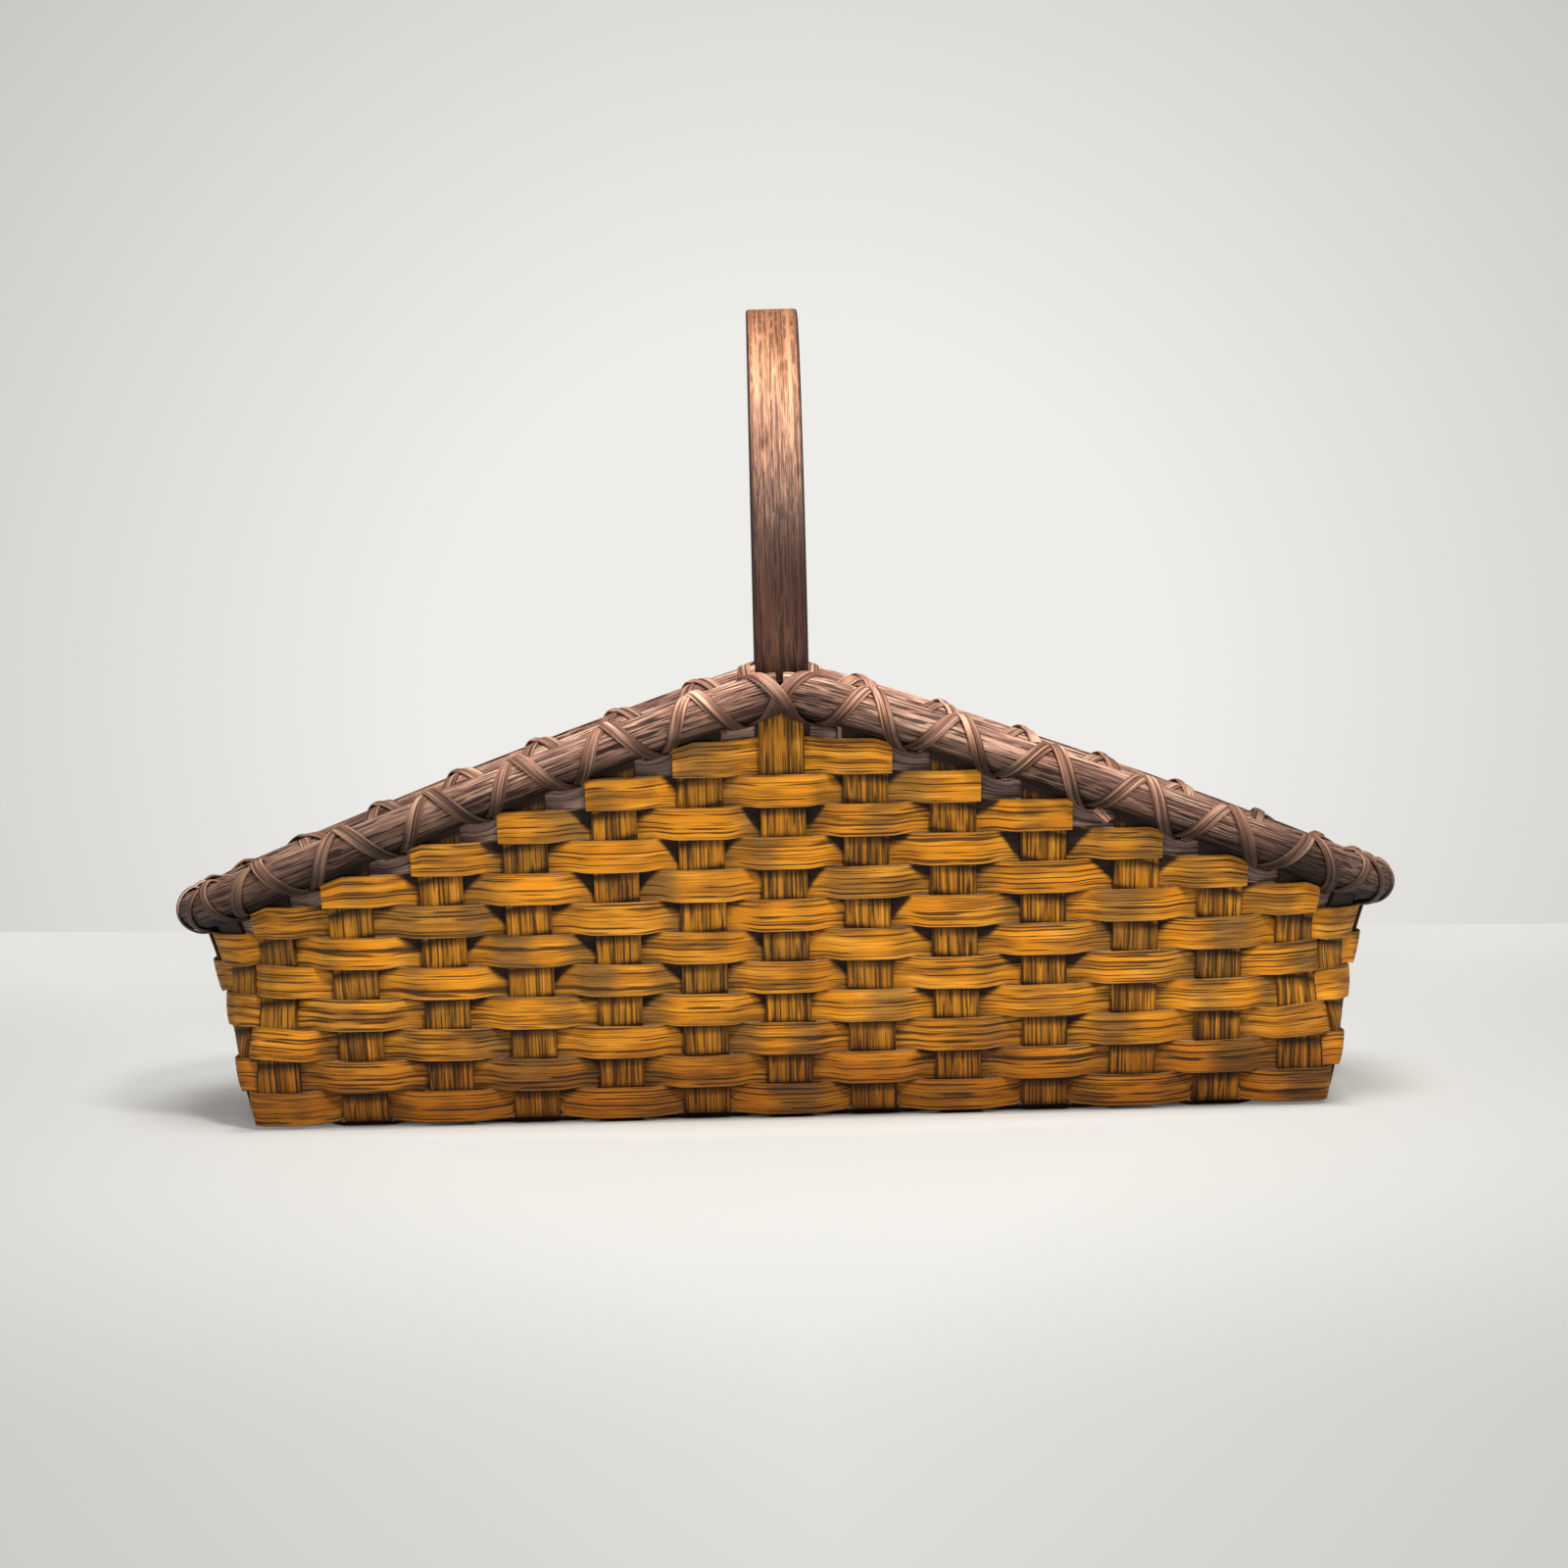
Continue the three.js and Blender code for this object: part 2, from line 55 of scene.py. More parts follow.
view = {
    "place": (-13.5, -2075.0, 226.4),
    "lookDown": 2.55,   # degrees
    "turn": -0.39,
    "roll": -1.39,
    "lens": 110.05,     # on a 36 mm sensor, for the square picture
}

cameraData = bpy.data.cameras.new("photoCamera")
cameraData.lens = view["lens"]
cameraData.sensor_width = 36
cameraData.clip_end = 50
camera = bpy.data.objects.new("photoCamera", cameraData)
aim = Matrix.Rotation(math.radians(view["turn"]), 4, "Z")
aim @= Matrix.Rotation(math.radians(90 - view["lookDown"]), 4, "X")
aim @= Matrix.Rotation(math.radians(view["roll"]), 4, "Z")
camera.matrix_world = Matrix.Translation(Vector(view["place"]) * mm) @ aim
collection.objects.link(camera)
bpy.context.scene.camera = camera
bpy.context.scene.view_settings.view_transform = "Standard"

studio = {
    "wallColor": "EEEDE9",
    # Painted shade: the backdrop darkens towards its upper corners
    "wallEdgeColor": "CAC9C5",    # the wall falls off towards the picture's upper corners
    "wallHeading": (("X", 6.5, -0.07), ("Z", 6.7, 0.16)),   # scale and shift from its brightest spot
    "wallFalloff": (0.5, 1.4),    # where the falloff starts and ends in that scale
    "tableColor": "DEDDD9",
    "tableFarColor": "E5E4E0",
    "tableRoughness": 0.6,
    "tableSize": 4.0,             # metres from the table's middle to its edges
    "tableFar": 0.93,             # metres from the basket's middle to the table's far edge
    "tableTurn": -14.5,           # degrees
    "tableFade": (0.3, 0.85),     # metres from the basket over which the far colour takes over
    "tableShade": 0.5,            # share of the table's look that takes the lamps' light and shadow
    "tableSideShade": 0.76,            # how much painted shade greys the near table towards its front corners
    "greyStart": (0.2, 0.5),      # metres to the side over which it greys
    "greySlant": 0.3,             # in front the greying starts nearer the middle
    "greyEnd": (1.1, 1.6),        # metres from the basket over which it ends
    "tableLit": 0.86,             # keeps the lamplit part from clipping
    "tableUnder": 0.35,           # the table's tone in the shade under the basket
    "underSize": (0.222, 0.0935),     # half length and half depth of that shade in metres
    "underEdge": (-0.002, 0.014),     # and its soft border
    "lampsOnly": (3.7, 6.6, 0),   # the oval round the basket that the lamps alone light, as 1 / metres
    "lampsOnlyEdge": (0.75, 1.15),
    "ambient": 0.26,
    "lamps": [
        # name, place in metres, size in metres, watts, warmth
        ("keySoftbox", (0.7, -1.75, 1.95), 0.5, 60.0, "FFFCF6"),
        ("topSoftbox", (0.1, -0.45, 2.2), 1.1, 40.0, "FFFFFF"),
        ("leftFill", (-1.8, -1.6, 0.9), 1.4, 10.0, "F6F8FF"),
    ],
}


def paint(hexText):
    # sRGB hex to Blender's linear colour
    parts = [int(hexText[i:i + 2], 16) / 255 for i in (0, 2, 4)]
    return (*[p / 12.92 if p <= 0.04045 else ((p + 0.055) / 1.055) ** 2.4 for p in parts], 1.0)


def addNode(tree, kind, inputs=(), stops=(), **settings):
    # A node with its settings and links. Inputs are a list in the node's own order, or a dictionary by
    # number or name. Each is a value, another node's output, or a node, which gives its first output.
    node = tree.nodes.new("ShaderNode" + kind)
    for key, value in settings.items():
        setattr(node, key, value)
    for socket, value in inputs.items() if isinstance(inputs, dict) else enumerate(inputs):
        source = value.outputs[0] if isinstance(value, bpy.types.Node) else value
        if isinstance(source, bpy.types.NodeSocket):
            tree.links.new(source, node.inputs[socket])
        else:
            node.inputs[socket].default_value = value
    for index, (position, color) in enumerate(stops):
        elements = node.color_ramp.elements
        element = elements[index] if index < 2 else elements.new(position)
        element.position = position
        element.color = color
    return node


def newMaterial(name):
    material = bpy.data.materials.new(name)
    material.use_nodes = True
    material.node_tree.nodes.clear()
    return material, material.node_tree


world = bpy.data.worlds.new("softRoom")
bpy.context.scene.world = world
world.use_nodes = True
world.node_tree.nodes.clear()
tree = world.node_tree
path = addNode(tree, "LightPath")
heading = addNode(tree, "SeparateXYZ", [addNode(tree, "TexCoord").outputs["Generated"]])
offset = addNode(tree, "CombineXYZ", [
    addNode(tree, "Math", [heading.outputs[axis], scale, shift], operation="MULTIPLY_ADD")
    for axis, scale, shift in studio["wallHeading"]
])
spread = addNode(tree, "VectorMath", [offset], operation="LENGTH").outputs["Value"]
wallTone = addNode(tree, "Mix", {
    0: addNode(tree, "MapRange", [spread, *studio["wallFalloff"]]),
    6: paint(studio["wallColor"]), 7: paint(studio["wallEdgeColor"]),
}, data_type="RGBA")
room = addNode(tree, "Background", [(1, 1, 1, 1), studio["ambient"]])
wall = addNode(tree, "Background", [wallTone.outputs[2], 1.0])
addNode(tree, "OutputWorld", [addNode(tree, "MixShader", [path.outputs["Is Camera Ray"], room, wall])])

for name, place, size, watts, warmth in studio["lamps"]:
    lampData = bpy.data.lights.new(name, "AREA")
    lampData.shape = "DISK"
    lampData.size = size
    lampData.energy = watts
    lampData.color = paint(warmth)[:3]
    lamp = bpy.data.objects.new(name, lampData)
    lamp.location = place
    lamp.rotation_euler = (Vector((0, 0, 0.1)) - Vector(place)).to_track_quat("-Z", "Y").to_euler()
    collection.objects.link(lamp)

# Matt white table top: takes the soft shadow near the basket, and painted shade greys it a little towards
# its sides
tableMaterial, tree = newMaterial("tableLaminateMatt")
place = addNode(tree, "TexCoord").outputs["Object"]
spot = addNode(tree, "SeparateXYZ", [place])
sides = [addNode(tree, "Math", [spot.outputs[axis]], operation="ABSOLUTE") for axis in "XY"]
distance = addNode(tree, "VectorMath", [place], operation="LENGTH").outputs["Value"]
fade = addNode(tree, "MapRange", [distance, *studio["tableFade"]], interpolation_type="SMOOTHSTEP")
even = addNode(tree, "Mix", {
    0: fade, 6: paint(studio["tableColor"]), 7: paint(studio["tableFarColor"]),
}, data_type="RGBA")
aside = addNode(tree, "Math", [spot.outputs["Y"], -studio["greySlant"], sides[0]], operation="MULTIPLY_ADD")
greyest = addNode(tree, "MapRange", [distance, *studio["greyEnd"], studio["tableSideShade"], 1.0])
grey = addNode(tree, "MapRange", [aside, *studio["greyStart"], 1.0, greyest])
tone = addNode(tree, "VectorMath", {0: even.outputs[2], "Scale": grey}, operation="SCALE")
# The shaded patch under the base fades out just past the base's own edge
patch = addNode(tree, "Math", [
    addNode(tree, "MapRange", [side, *(size + border for border in studio["underEdge"])])
    for side, size in zip(sides, studio["underSize"])
], operation="MAXIMUM")
patch = addNode(tree, "MapRange", [
    patch, 0.0, 1.0, studio["tableLit"] * studio["tableUnder"], studio["tableLit"],
])
lit = addNode(tree, "VectorMath", {0: tone, "Scale": patch}, operation="SCALE")
top = addNode(tree, "BsdfPrincipled", {"Base Color": lit, "Roughness": studio["tableRoughness"]})
glow = addNode(tree, "Emission", [tone, 1.0])
# For camera rays the table partly glows with its own tone: wholly far from the basket, where that tone is
# even, and not at all round the basket, where the lamps alone light it
own = addNode(tree, "MapRange", [fade, 0.0, 1.0, 1 - studio["tableShade"], 1.0])
apart = addNode(tree, "VectorMath", [place, studio["lampsOnly"]], operation="MULTIPLY")
apart = addNode(tree, "VectorMath", [apart], operation="LENGTH").outputs["Value"]
clear = addNode(tree, "MapRange", [apart, *studio["lampsOnlyEdge"]])
share = addNode(tree, "LightPath").outputs["Is Camera Ray"]
for part in (own, clear):
    share = addNode(tree, "Math", [share, part], operation="MULTIPLY")
addNode(tree, "OutputMaterial", [addNode(tree, "MixShader", [share, top, glow])])

bm = bmesh.new()
bmesh.ops.create_grid(bm, x_segments=1, y_segments=1, size=studio["tableSize"])
bmesh.ops.translate(bm, verts=bm.verts, vec=(0, studio["tableFar"] - studio["tableSize"], 0))
bmesh.ops.rotate(bm, verts=bm.verts, matrix=Matrix.Rotation(math.radians(studio["tableTurn"]), 3, "Z"))
tableMesh = bpy.data.meshes.new("table")
bm.to_mesh(tableMesh)
bm.free()
table = bpy.data.objects.new("table", tableMesh)
tableMesh.materials.append(tableMaterial)
collection.objects.link(table)
print("camera, light and table are set")


# Wood finishes

patina = {
    # A pair gives where a change starts and ends, and a row of four also its values there.
    # Noise mostly runs from 0.3 to 0.7: the tones' places in it
    "tones": ((0.22, "dark"), (0.42, "middle"), (0.56, "bright"), (0.74, "glint")),
    "dullFloats": (0.5, 0.66), "warmFloats": (0.48, 0.36),   # noise from one float to the next
    "floatWidth": 500,               # mm, wider than any strip, so that a float changes as a whole
    "floatBreak": 0.45,              # how far the fibres break up the borders between such floats
    "lineSoft": 0.05, "lineBreak": (0.36, 0.5, 0.1, 1.0),    # a line's border and where it breaks off
    "cornerRise": 150,               # mm of height over which the painted corner shadows deepen
    "cornerMark": (24, 400),         # length and width in mm of the patches that vary them
    "cornerVaries": (0.38, 0.6, 0.4, 1.1), "cornerSoft": (-0.1, 0.08, 0.0, 0.96),
    "cornerAside": (100, 200), "cornerEnds": 0.4,   # mm from the middle where they lessen, and how far
    "dipShade": (0.4, 1.0, 0.0, 0.25),    # painted shade where a splint dips inside
    "rubbedAndLitEdge": (0.86, 0.95, 0.0, 0.6), "rubbedAndLitFibre": (0.4, 0.6),   # paint rubbed off the edges, with a painted highlight along them
    "underRow": (0.6, 0.9), "overRow": (0.14, 0.02, 0.0, 0.6),   # a stake's shade in one row's height
    "stakeEdge": (0.86, 0.97, 0.0, 0.7),
    "undersideToTop": (-0.62, 0.8),  # across a rod, or from below to above on its lashing
    "lightestAt": 18,                   # mm to the right of the middle, where the painted light on rims and lashing is brightest
    "lightestReach": (90, 200),         # mm from there over which it gives way to the painted shade of the ends
    "lineDepth": 0.6, "roughest": 0.12, "smoothest": 0.08,   # of the relief and the sheen
    "ior": 1.46,
}


def woodFinish(name, values):
    # Grain runs along each strip: its own map holds the place along and across it in mm. A second
    # map holds how far the strip has dipped inside (or which row it crosses) and its two edges.
    material, tree = newMaterial(name)
    place = addNode(tree, "UVMap", uv_map="stripPlace")
    weaveSpot = addNode(tree, "SeparateXYZ", [addNode(tree, "UVMap", uv_map="weaveSpot")])
    basketSpot = addNode(tree, "SeparateXYZ", [addNode(tree, "TexCoord").outputs["Object"]])
    edge = addNode(tree, "Math", [weaveSpot.outputs["Y"]], operation="ABSOLUTE")
    fromMiddle = addNode(tree, "Math", [basketSpot.outputs["X"]], operation="ABSOLUTE")

    def grain(length, width, detail, rough=0.5):
        # Noise drawn out along the strip: the sizes are the length and width of one mark in mm
        scaled = addNode(tree, "Mapping", {"Vector": place, "Scale": (1 / length, 1 / width, 1)})
        return addNode(tree, "TexNoise", {
            "Vector": scaled, "Scale": 1.0, "Detail": detail, "Roughness": rough,
        })

    tone = grain(values["toneLength"], values["toneWidth"], 2)
    fibre = grain(values["fibreLength"], values["fibreWidth"], 4, 0.65)
    unevenness = addNode(tree, "Math", [fibre, 0.5], operation="SUBTRACT")
    color = addNode(tree, "ValToRGB", [
        addNode(tree, "Math", [unevenness, values["fibreShare"], tone], operation="MULTIPLY_ADD"),
    ], [(stop, paint(values[kind])) for stop, kind in patina["tones"]])

    # Dark pores and seams where drawn-out noise runs low; each breaks off and starts again further on
    start, width = values["lineStart"], values["lineWidth"]
    lines = addNode(tree, "Math", [
        addNode(tree, "MapRange", [marks, start, start - patina["lineSoft"]])
        for marks in (grain(values["lineLength"], width, 0), grain(values["lineLength"], width * 0.7, 1))
    ], operation="MAXIMUM")
    strength = addNode(tree, "MapRange", [grain(values["lineRun"], width * 1.5, 0), *patina["lineBreak"]])
    lines = addNode(tree, "Math", [lines, strength], operation="MULTIPLY")

    # Wear from one float to the next, its border broken up along the fibres
    floats = addNode(tree, "Math", [
        unevenness, patina["floatBreak"], grain(values["floatLength"], patina["floatWidth"], 1),
    ], operation="MULTIPLY_ADD")
    layers = [
        # share and colour, and its way of lying over the colours before it where that isn't a plain mix
        (addNode(tree, "MapRange", [floats, *patina["dullFloats"], 0.0, values["dullShare"]]),
         paint(values["dull"])),
        (addNode(tree, "MapRange", [floats, *patina["warmFloats"], 0.0, values["warmShare"]]),
         paint(values["warm"])),
        (addNode(tree, "Math", [lines, values["lineShare"]], operation="MULTIPLY"),
         paint(values["line"])),
    ]

    if values.get("weave") == "weaver":
        # Painted shadow in the upper corner where the splint dips beside a stake, under the float above
        dip = weaveSpot.outputs["X"]
        cornerShadowSlant = addNode(tree, "MapRange", [dip, values["cornerStart"], 1.0])
        for share in (
            addNode(tree, "MapRange", [basketSpot.outputs["Z"], 0.0, patina["cornerRise"] * mm,
                                       values["cornerLow"], values["cornerHigh"]]),
            addNode(tree, "MapRange", [grain(*patina["cornerMark"], 1), *patina["cornerVaries"]]),
            addNode(tree, "MapRange", [fromMiddle, *(reach * mm for reach in patina["cornerAside"]),
                                       1.0, patina["cornerEnds"]]),
        ):
            cornerShadowSlant = addNode(tree, "Math", [cornerShadowSlant, share], operation="MULTIPLY")
        drop = addNode(tree, "Math", [weaveSpot.outputs["Y"], -0.5, 0.5], operation="MULTIPLY_ADD")
        corner = addNode(tree, "Math", [cornerShadowSlant, drop], operation="SUBTRACT")
        # Paint rubbed off along both edges, with a painted highlight there too
        rubbedAndLit = addNode(tree, "Math", [
            addNode(tree, "MapRange", [edge, *patina["rubbedAndLitEdge"]]),
            addNode(tree, "MapRange", [fibre, *patina["rubbedAndLitFibre"]]),
        ], operation="MULTIPLY")
        layers += [
            # Painted shade where the splint dips inside
            (addNode(tree, "MapRange", [dip, *patina["dipShade"]]), paint(values["dull"])),
            (addNode(tree, "MapRange", [corner, *patina["cornerSoft"]]), paint(values["shade"])),
            (rubbedAndLit, paint(values["rubbedAndLit"])),
        ]
    if values.get("weave") == "stake":
        # A stake is in shade where it goes under a row of weavers, and along its edges
        phase = addNode(tree, "Math", [weaveSpot.outputs["X"]], operation="FRACT")
        under = addNode(tree, "MapRange", [phase, *patina["underRow"]])
        for source, reach in ((phase, patina["overRow"]), (edge, patina["stakeEdge"])):
            under = addNode(tree, "Math", [under, addNode(tree, "MapRange", [source, *reach])],
                            operation="MAXIMUM")
        # Above its last row a stake takes its dark stain, darkened further with painted shade
        stainAndShade = addNode(tree, "Attribute", attribute_name="darkStainAndShade").outputs["Fac"]
        layers += [
            (addNode(tree, "Math", [under, values["underShare"]], operation="MULTIPLY"),
             paint(values["shade"])),
            (stainAndShade, paint(values["stainAndShade"])),
        ]
    if "paintedLightByHeight" in values:
        # Painted light and shade by height, its borders broken up along the fibres
        low, high = values["paintedLightByHeight"][0][0] * mm, values["paintedLightByHeight"][-1][0] * mm
        level = addNode(tree, "Math", [unevenness, values["zoneWander"], basketSpot.outputs["Z"]],
                        operation="MULTIPLY_ADD")
        paintedLightByHeight = addNode(tree, "ValToRGB", [addNode(tree, "MapRange", [level, low, high])], [
            ((height * mm - low) / (high - low), paint(code)) for height, code in values["paintedLightByHeight"]
        ])
        layers.append((1.0, paintedLightByHeight, "MULTIPLY"))
    if "undersideShade" in values:
        # Painted light: the top of a rod or strand is pale and its underside dark, lightest a little right
        # of the middle and in painted shade towards the ends
        rise = weaveSpot.outputs[values["underFrom"]]
        paintedTopLight = addNode(tree, "MapRange", [
            rise, *patina["undersideToTop"], values["undersideShade"], values["topHighlight"],
        ])
        fromLightest = addNode(tree, "Math", [basketSpot.outputs["X"], patina["lightestAt"] * mm],
                            operation="SUBTRACT")
        fromLightest = addNode(tree, "Math", [fromLightest], operation="ABSOLUTE")
        endShading = addNode(tree, "MapRange", [
            fromLightest, *(reach * mm for reach in patina["lightestReach"]), 1.0, values["endShade"],
        ])
        layers.append((1.0, addNode(tree, "Math", [paintedTopLight, endShading], operation="MULTIPLY"), "MULTIPLY"))
    if "shadedEdge" in values:
        # Painted shade along the strap's two long edges
        border = addNode(tree, "Math", [unevenness, 2 * mm, fromMiddle], operation="MULTIPLY_ADD")
        reach = values["shadedEdge"] * mm
        layers.append((addNode(tree, "MapRange", [border, reach, reach + mm, 0.0, 0.85]),
                       paint(values["line"])))
    for share, layer, *way in layers:
        color = addNode(tree, "Mix", {0: share, 6: color, 7: layer}, data_type="RGBA",
                        blend_type=way[0] if way else "MIX").outputs[2]

    bump = addNode(tree, "Bump", {
        "Height": addNode(tree, "Math", [lines, -patina["lineDepth"], fibre], operation="MULTIPLY_ADD"),
        "Strength": values["bump"], "Distance": values["bumpDepth"] * mm,
    })
    roughness = addNode(tree, "MapRange", [
        fibre, 0.3, 0.7, values["rough"] + patina["roughest"], values["rough"] - patina["smoothest"],
    ])
    addNode(tree, "OutputMaterial", [addNode(tree, "BsdfPrincipled", {
        "Base Color": color, "Roughness": roughness, "IOR": patina["ior"],
        "Specular IOR Level": values["gloss"], "Normal": bump,
    })])
    return material


# Mustard milk paint brushed on split ash: worn along the fibres, so fine dark grain shows through.
# Real ash pores are 0.2 mm wide; the lines are drawn two to three times as wide so that they show.
mustardWeavers = woodFinish("mustardPaintOnSplitAsh", {
    "weave": "weaver",
    "dark": "62400E", "middle": "A26614", "bright": "CC8419", "glint": "E6A032",
    "dull": "6A502C", "dullShare": 0.62, "warm": "DE8A0E", "warmShare": 0.7,
    "line": "2A1A0A", "lineShare": 0.88, "rubbedAndLit": "B08042", "shade": "0D0704",
    "toneLength": 50, "toneWidth": 4, "fibreLength": 18, "fibreWidth": 0.6, "fibreShare": 1.0,
    "floatLength": 26, "lineLength": 260, "lineWidth": 0.9, "lineRun": 18, "lineStart": 0.425,
    "cornerStart": 0.42, "cornerLow": 0.3, "cornerHigh": 1.15,
    # Painted shade: darker towards the bottom of the walls
    "paintedLightByHeight": [(0, "B4A8A4"), (20, "C8BCB6"), (42, "FFFFFF")], "zoneWander": 0.03,
    "bump": 0.7, "bumpDepth": 0.4, "rough": 0.58, "gloss": 0.2,
})
# The upright stakes took less paint: more of the dark grain shows, and their darker tone is also painted
# shade for their place behind the weavers
mustardStakes = woodFinish("mustardPaintOnAshStakes", {
    "weave": "stake",
    "dark": "50320F", "middle": "865515", "bright": "B57617", "glint": "D08C2E",
    "dull": "5C4220", "dullShare": 0.45, "warm": "B4761A", "warmShare": 0.5,
    "line": "20150A", "lineShare": 0.8, "shade": "0D0704", "underShare": 0.85, "stainAndShade": "2C1E1A",
    "toneLength": 50, "toneWidth": 4, "fibreLength": 30, "fibreWidth": 0.6, "fibreShare": 1.0,
    "floatLength": 24, "lineLength": 400, "lineWidth": 0.95, "lineRun": 14, "lineStart": 0.435,
    # Painted shade: darker towards the bottom of the walls
    "paintedLightByHeight": [(0, "B4A8A4"), (20, "C8BCB6"), (42, "FFFFFF")], "zoneWander": 0.03,
    "bump": 0.8, "bumpDepth": 0.45, "rough": 0.62, "gloss": 0.2,
})
# Inside, the split ash was only stained: grey brown with a soft grain
stainedSplints = woodFinish("walnutStainOnSplitAsh", {
    "dark": "4A3833", "middle": "705A52", "bright": "8E756A", "glint": "AC9184",
    "dull": "4A3934", "dullShare": 0.5, "warm": "6E5040", "warmShare": 0.4,
    "line": "1E1412", "lineShare": 0.8,
    "toneLength": 60, "toneWidth": 3.5, "fibreLength": 25, "fibreWidth": 0.6, "fibreShare": 0.8,
    "floatLength": 40, "lineLength": 260, "lineWidth": 1.1, "lineRun": 30, "lineStart": 0.42,
    "bump": 0.6, "bumpDepth": 0.35, "rough": 0.62, "gloss": 0.2,
})
# Half round oak rods, shaved along the grain and stained, rubbed pale on the high fibres; painted light
# makes their tops pale and their undersides dark
rimStain = {
    "dark": "4A3530", "middle": "855D50", "bright": "BF8F79", "glint": "F0C6AC",
    "dull": "644C44", "dullShare": 0.5, "warm": "BE9A84", "warmShare": 0.4,
    "line": "1A100E", "lineShare": 0.85,
    "toneLength": 70, "toneWidth": 4, "fibreLength": 14, "fibreWidth": 0.6, "fibreShare": 1.3,
    "floatLength": 50, "lineLength": 60, "lineWidth": 0.95, "lineRun": 9, "lineStart": 0.435,
    "undersideShade": 0.06, "topHighlight": 1.45, "endShade": 0.38, "underFrom": "Y",
    "bump": 1.0, "bumpDepth": 0.7, "rough": 0.58, "gloss": 0.15,
}
stainedRims = woodFinish("walnutStainOnShavedOak", rimStain)
# Inside, the rods take a paler and more even painted light from underside to top
stainedInnerRims = woodFinish("walnutStainOnInnerRods", {**rimStain, "undersideShade": 0.55, "topHighlight": 1.7})
# Lashing of thin shaved splint, stained with the rims and polished by handling; painted light makes it pale
# where it faces up, dark where it faces down and darker towards the ends
stainedLashing = woodFinish("walnutStainOnLashingSplint", {
    "dark": "4A3128", "middle": "805746", "bright": "B5836B", "glint": "E6C2A8",
    "dull": "664A3E", "dullShare": 0.5, "warm": "C09A80", "warmShare": 0.4,
    "line": "1E120D", "lineShare": 0.7,
    "toneLength": 40, "toneWidth": 2.2, "fibreLength": 80, "fibreWidth": 0.6, "fibreShare": 1.0,
    "floatLength": 20, "lineLength": 300, "lineWidth": 0.9, "lineRun": 30, "lineStart": 0.44,
    "undersideShade": 0.22, "topHighlight": 1.4, "endShade": 0.55, "underFrom": "X",
    "bump": 0.9, "bumpDepth": 0.6, "rough": 0.5, "gloss": 0.2,
})
# Steam bent hickory strap, stained dark; its tones by height are painted light: pale where the arch faces up
# to the lamps, dark on the legs
bentHandleWood = woodFinish("stainedBentHickory", {
    "dark": "8A6A58", "middle": "C0A08A", "bright": "DCBEA8", "glint": "F6E0CC",
    "dull": "A8866F", "dullShare": 0.3, "warm": "D8AC90", "warmShare": 0.3,
    "line": "33211C", "lineShare": 0.62, "shadedEdge": 9.5,
    "toneLength": 60, "toneWidth": 4, "fibreLength": 12, "fibreWidth": 0.7, "fibreShare": 1.3,
    "floatLength": 60, "lineLength": 160, "lineWidth": 1.0, "lineRun": 8, "lineStart": 0.425,
    # Painted light by height along the arch: pale where it faces the lamps above, darker on the legs and at
    # its very top
    "paintedLightByHeight": [(10, "6E5048"), (178, "4A362E"), (200, "6E5044"), (222, "5A443C"), (250, "665048"),
              (266, "9C7E6E"), (284, "D6B49C"), (300, "E6C4A8"), (317, "E0B898"), (330, "C69C80"),
              (338, "B0866C")], "zoneWander": 0.09,
    "bump": 0.6, "bumpDepth": 0.4, "rough": 0.46, "gloss": 0.35,
})
print("wood finishes are mixed")


# The wall that every splint follows

weave = {
    "stakeWidth": 19.0, "stakeThickness": 1.8,
    "weaverWidth": 12.5, "weaverThickness": 1.5,
    "rowGap": 0.4, "clearance": 0.3,
    "crossCount": 13, "longCount": 5, "crossPitch": 35.2, "longPitch": 39.0,
    "fullRows": 6, "fillerRows": 6,
    "lowestRow": 2.0, "bendRadius": 2.5,
}
wallShape = {
    "endMargin": 1.5, "sideMargin": 6.0, "endLean": 0.297, "sideLean": 0.17, "fan": 0.0002,
    "endHollow": 1.5,     # how far the end walls curve in below a straight lean
    "baseCorner": 6.0, "rimCorner": 75.0,
    "peakAboveRows": 12.0, "endAboveRows": 1.2, "slope": 0.31, "rounding": 8.0,
}
rim = {
    "height": 17.0, "depth": 8.5, "jointGap": 1.6, "stakeTopBelow": 3.5, "peakSwell": 0.06, "notch": 0.4,
    "innerDrop": 1.6,     # the inner rods sit a little lower than the outer ones
}

crossMiddle = (weave["crossCount"] + 1) / 2
longMiddle = (weave["longCount"] + 1) / 2
stakeLegs = 2 * (weave["crossCount"] + weave["longCount"])
rightMiddle = weave["crossCount"] + longMiddle
rowPitch = weave["weaverWidth"] + weave["rowGap"]
rowOffset = weave["stakeThickness"] / 2 + weave["clearance"] + weave["weaverThickness"] / 2
baseLevel = weave["stakeThickness"] * 1.5 + weave["clearance"]
baseWave = weave["stakeThickness"] + weave["clearance"]
halfLength = (crossMiddle - 1) * weave["crossPitch"] + weave["stakeWidth"] / 2 + wallShape["endMargin"]
halfDepth = (longMiddle - 1) * weave["longPitch"] + weave["stakeWidth"] / 2 + wallShape["sideMargin"]
allRows = weave["fullRows"] + weave["fillerRows"]


def rowTop(row):
    return weave["lowestRow"] + (row - 1) * rowPitch + weave["weaverWidth"]


endRimLevel = rowTop(weave["fullRows"]) + wallShape["endAboveRows"] + rim["height"] / 2
peakRimLevel = rowTop(allRows) + wallShape["peakAboveRows"] + rim["height"] / 2


def smoothStep(value, low, high):
    share = min(max((value - low) / (high - low), 0), 1)
    return share * share * (3 - 2 * share)


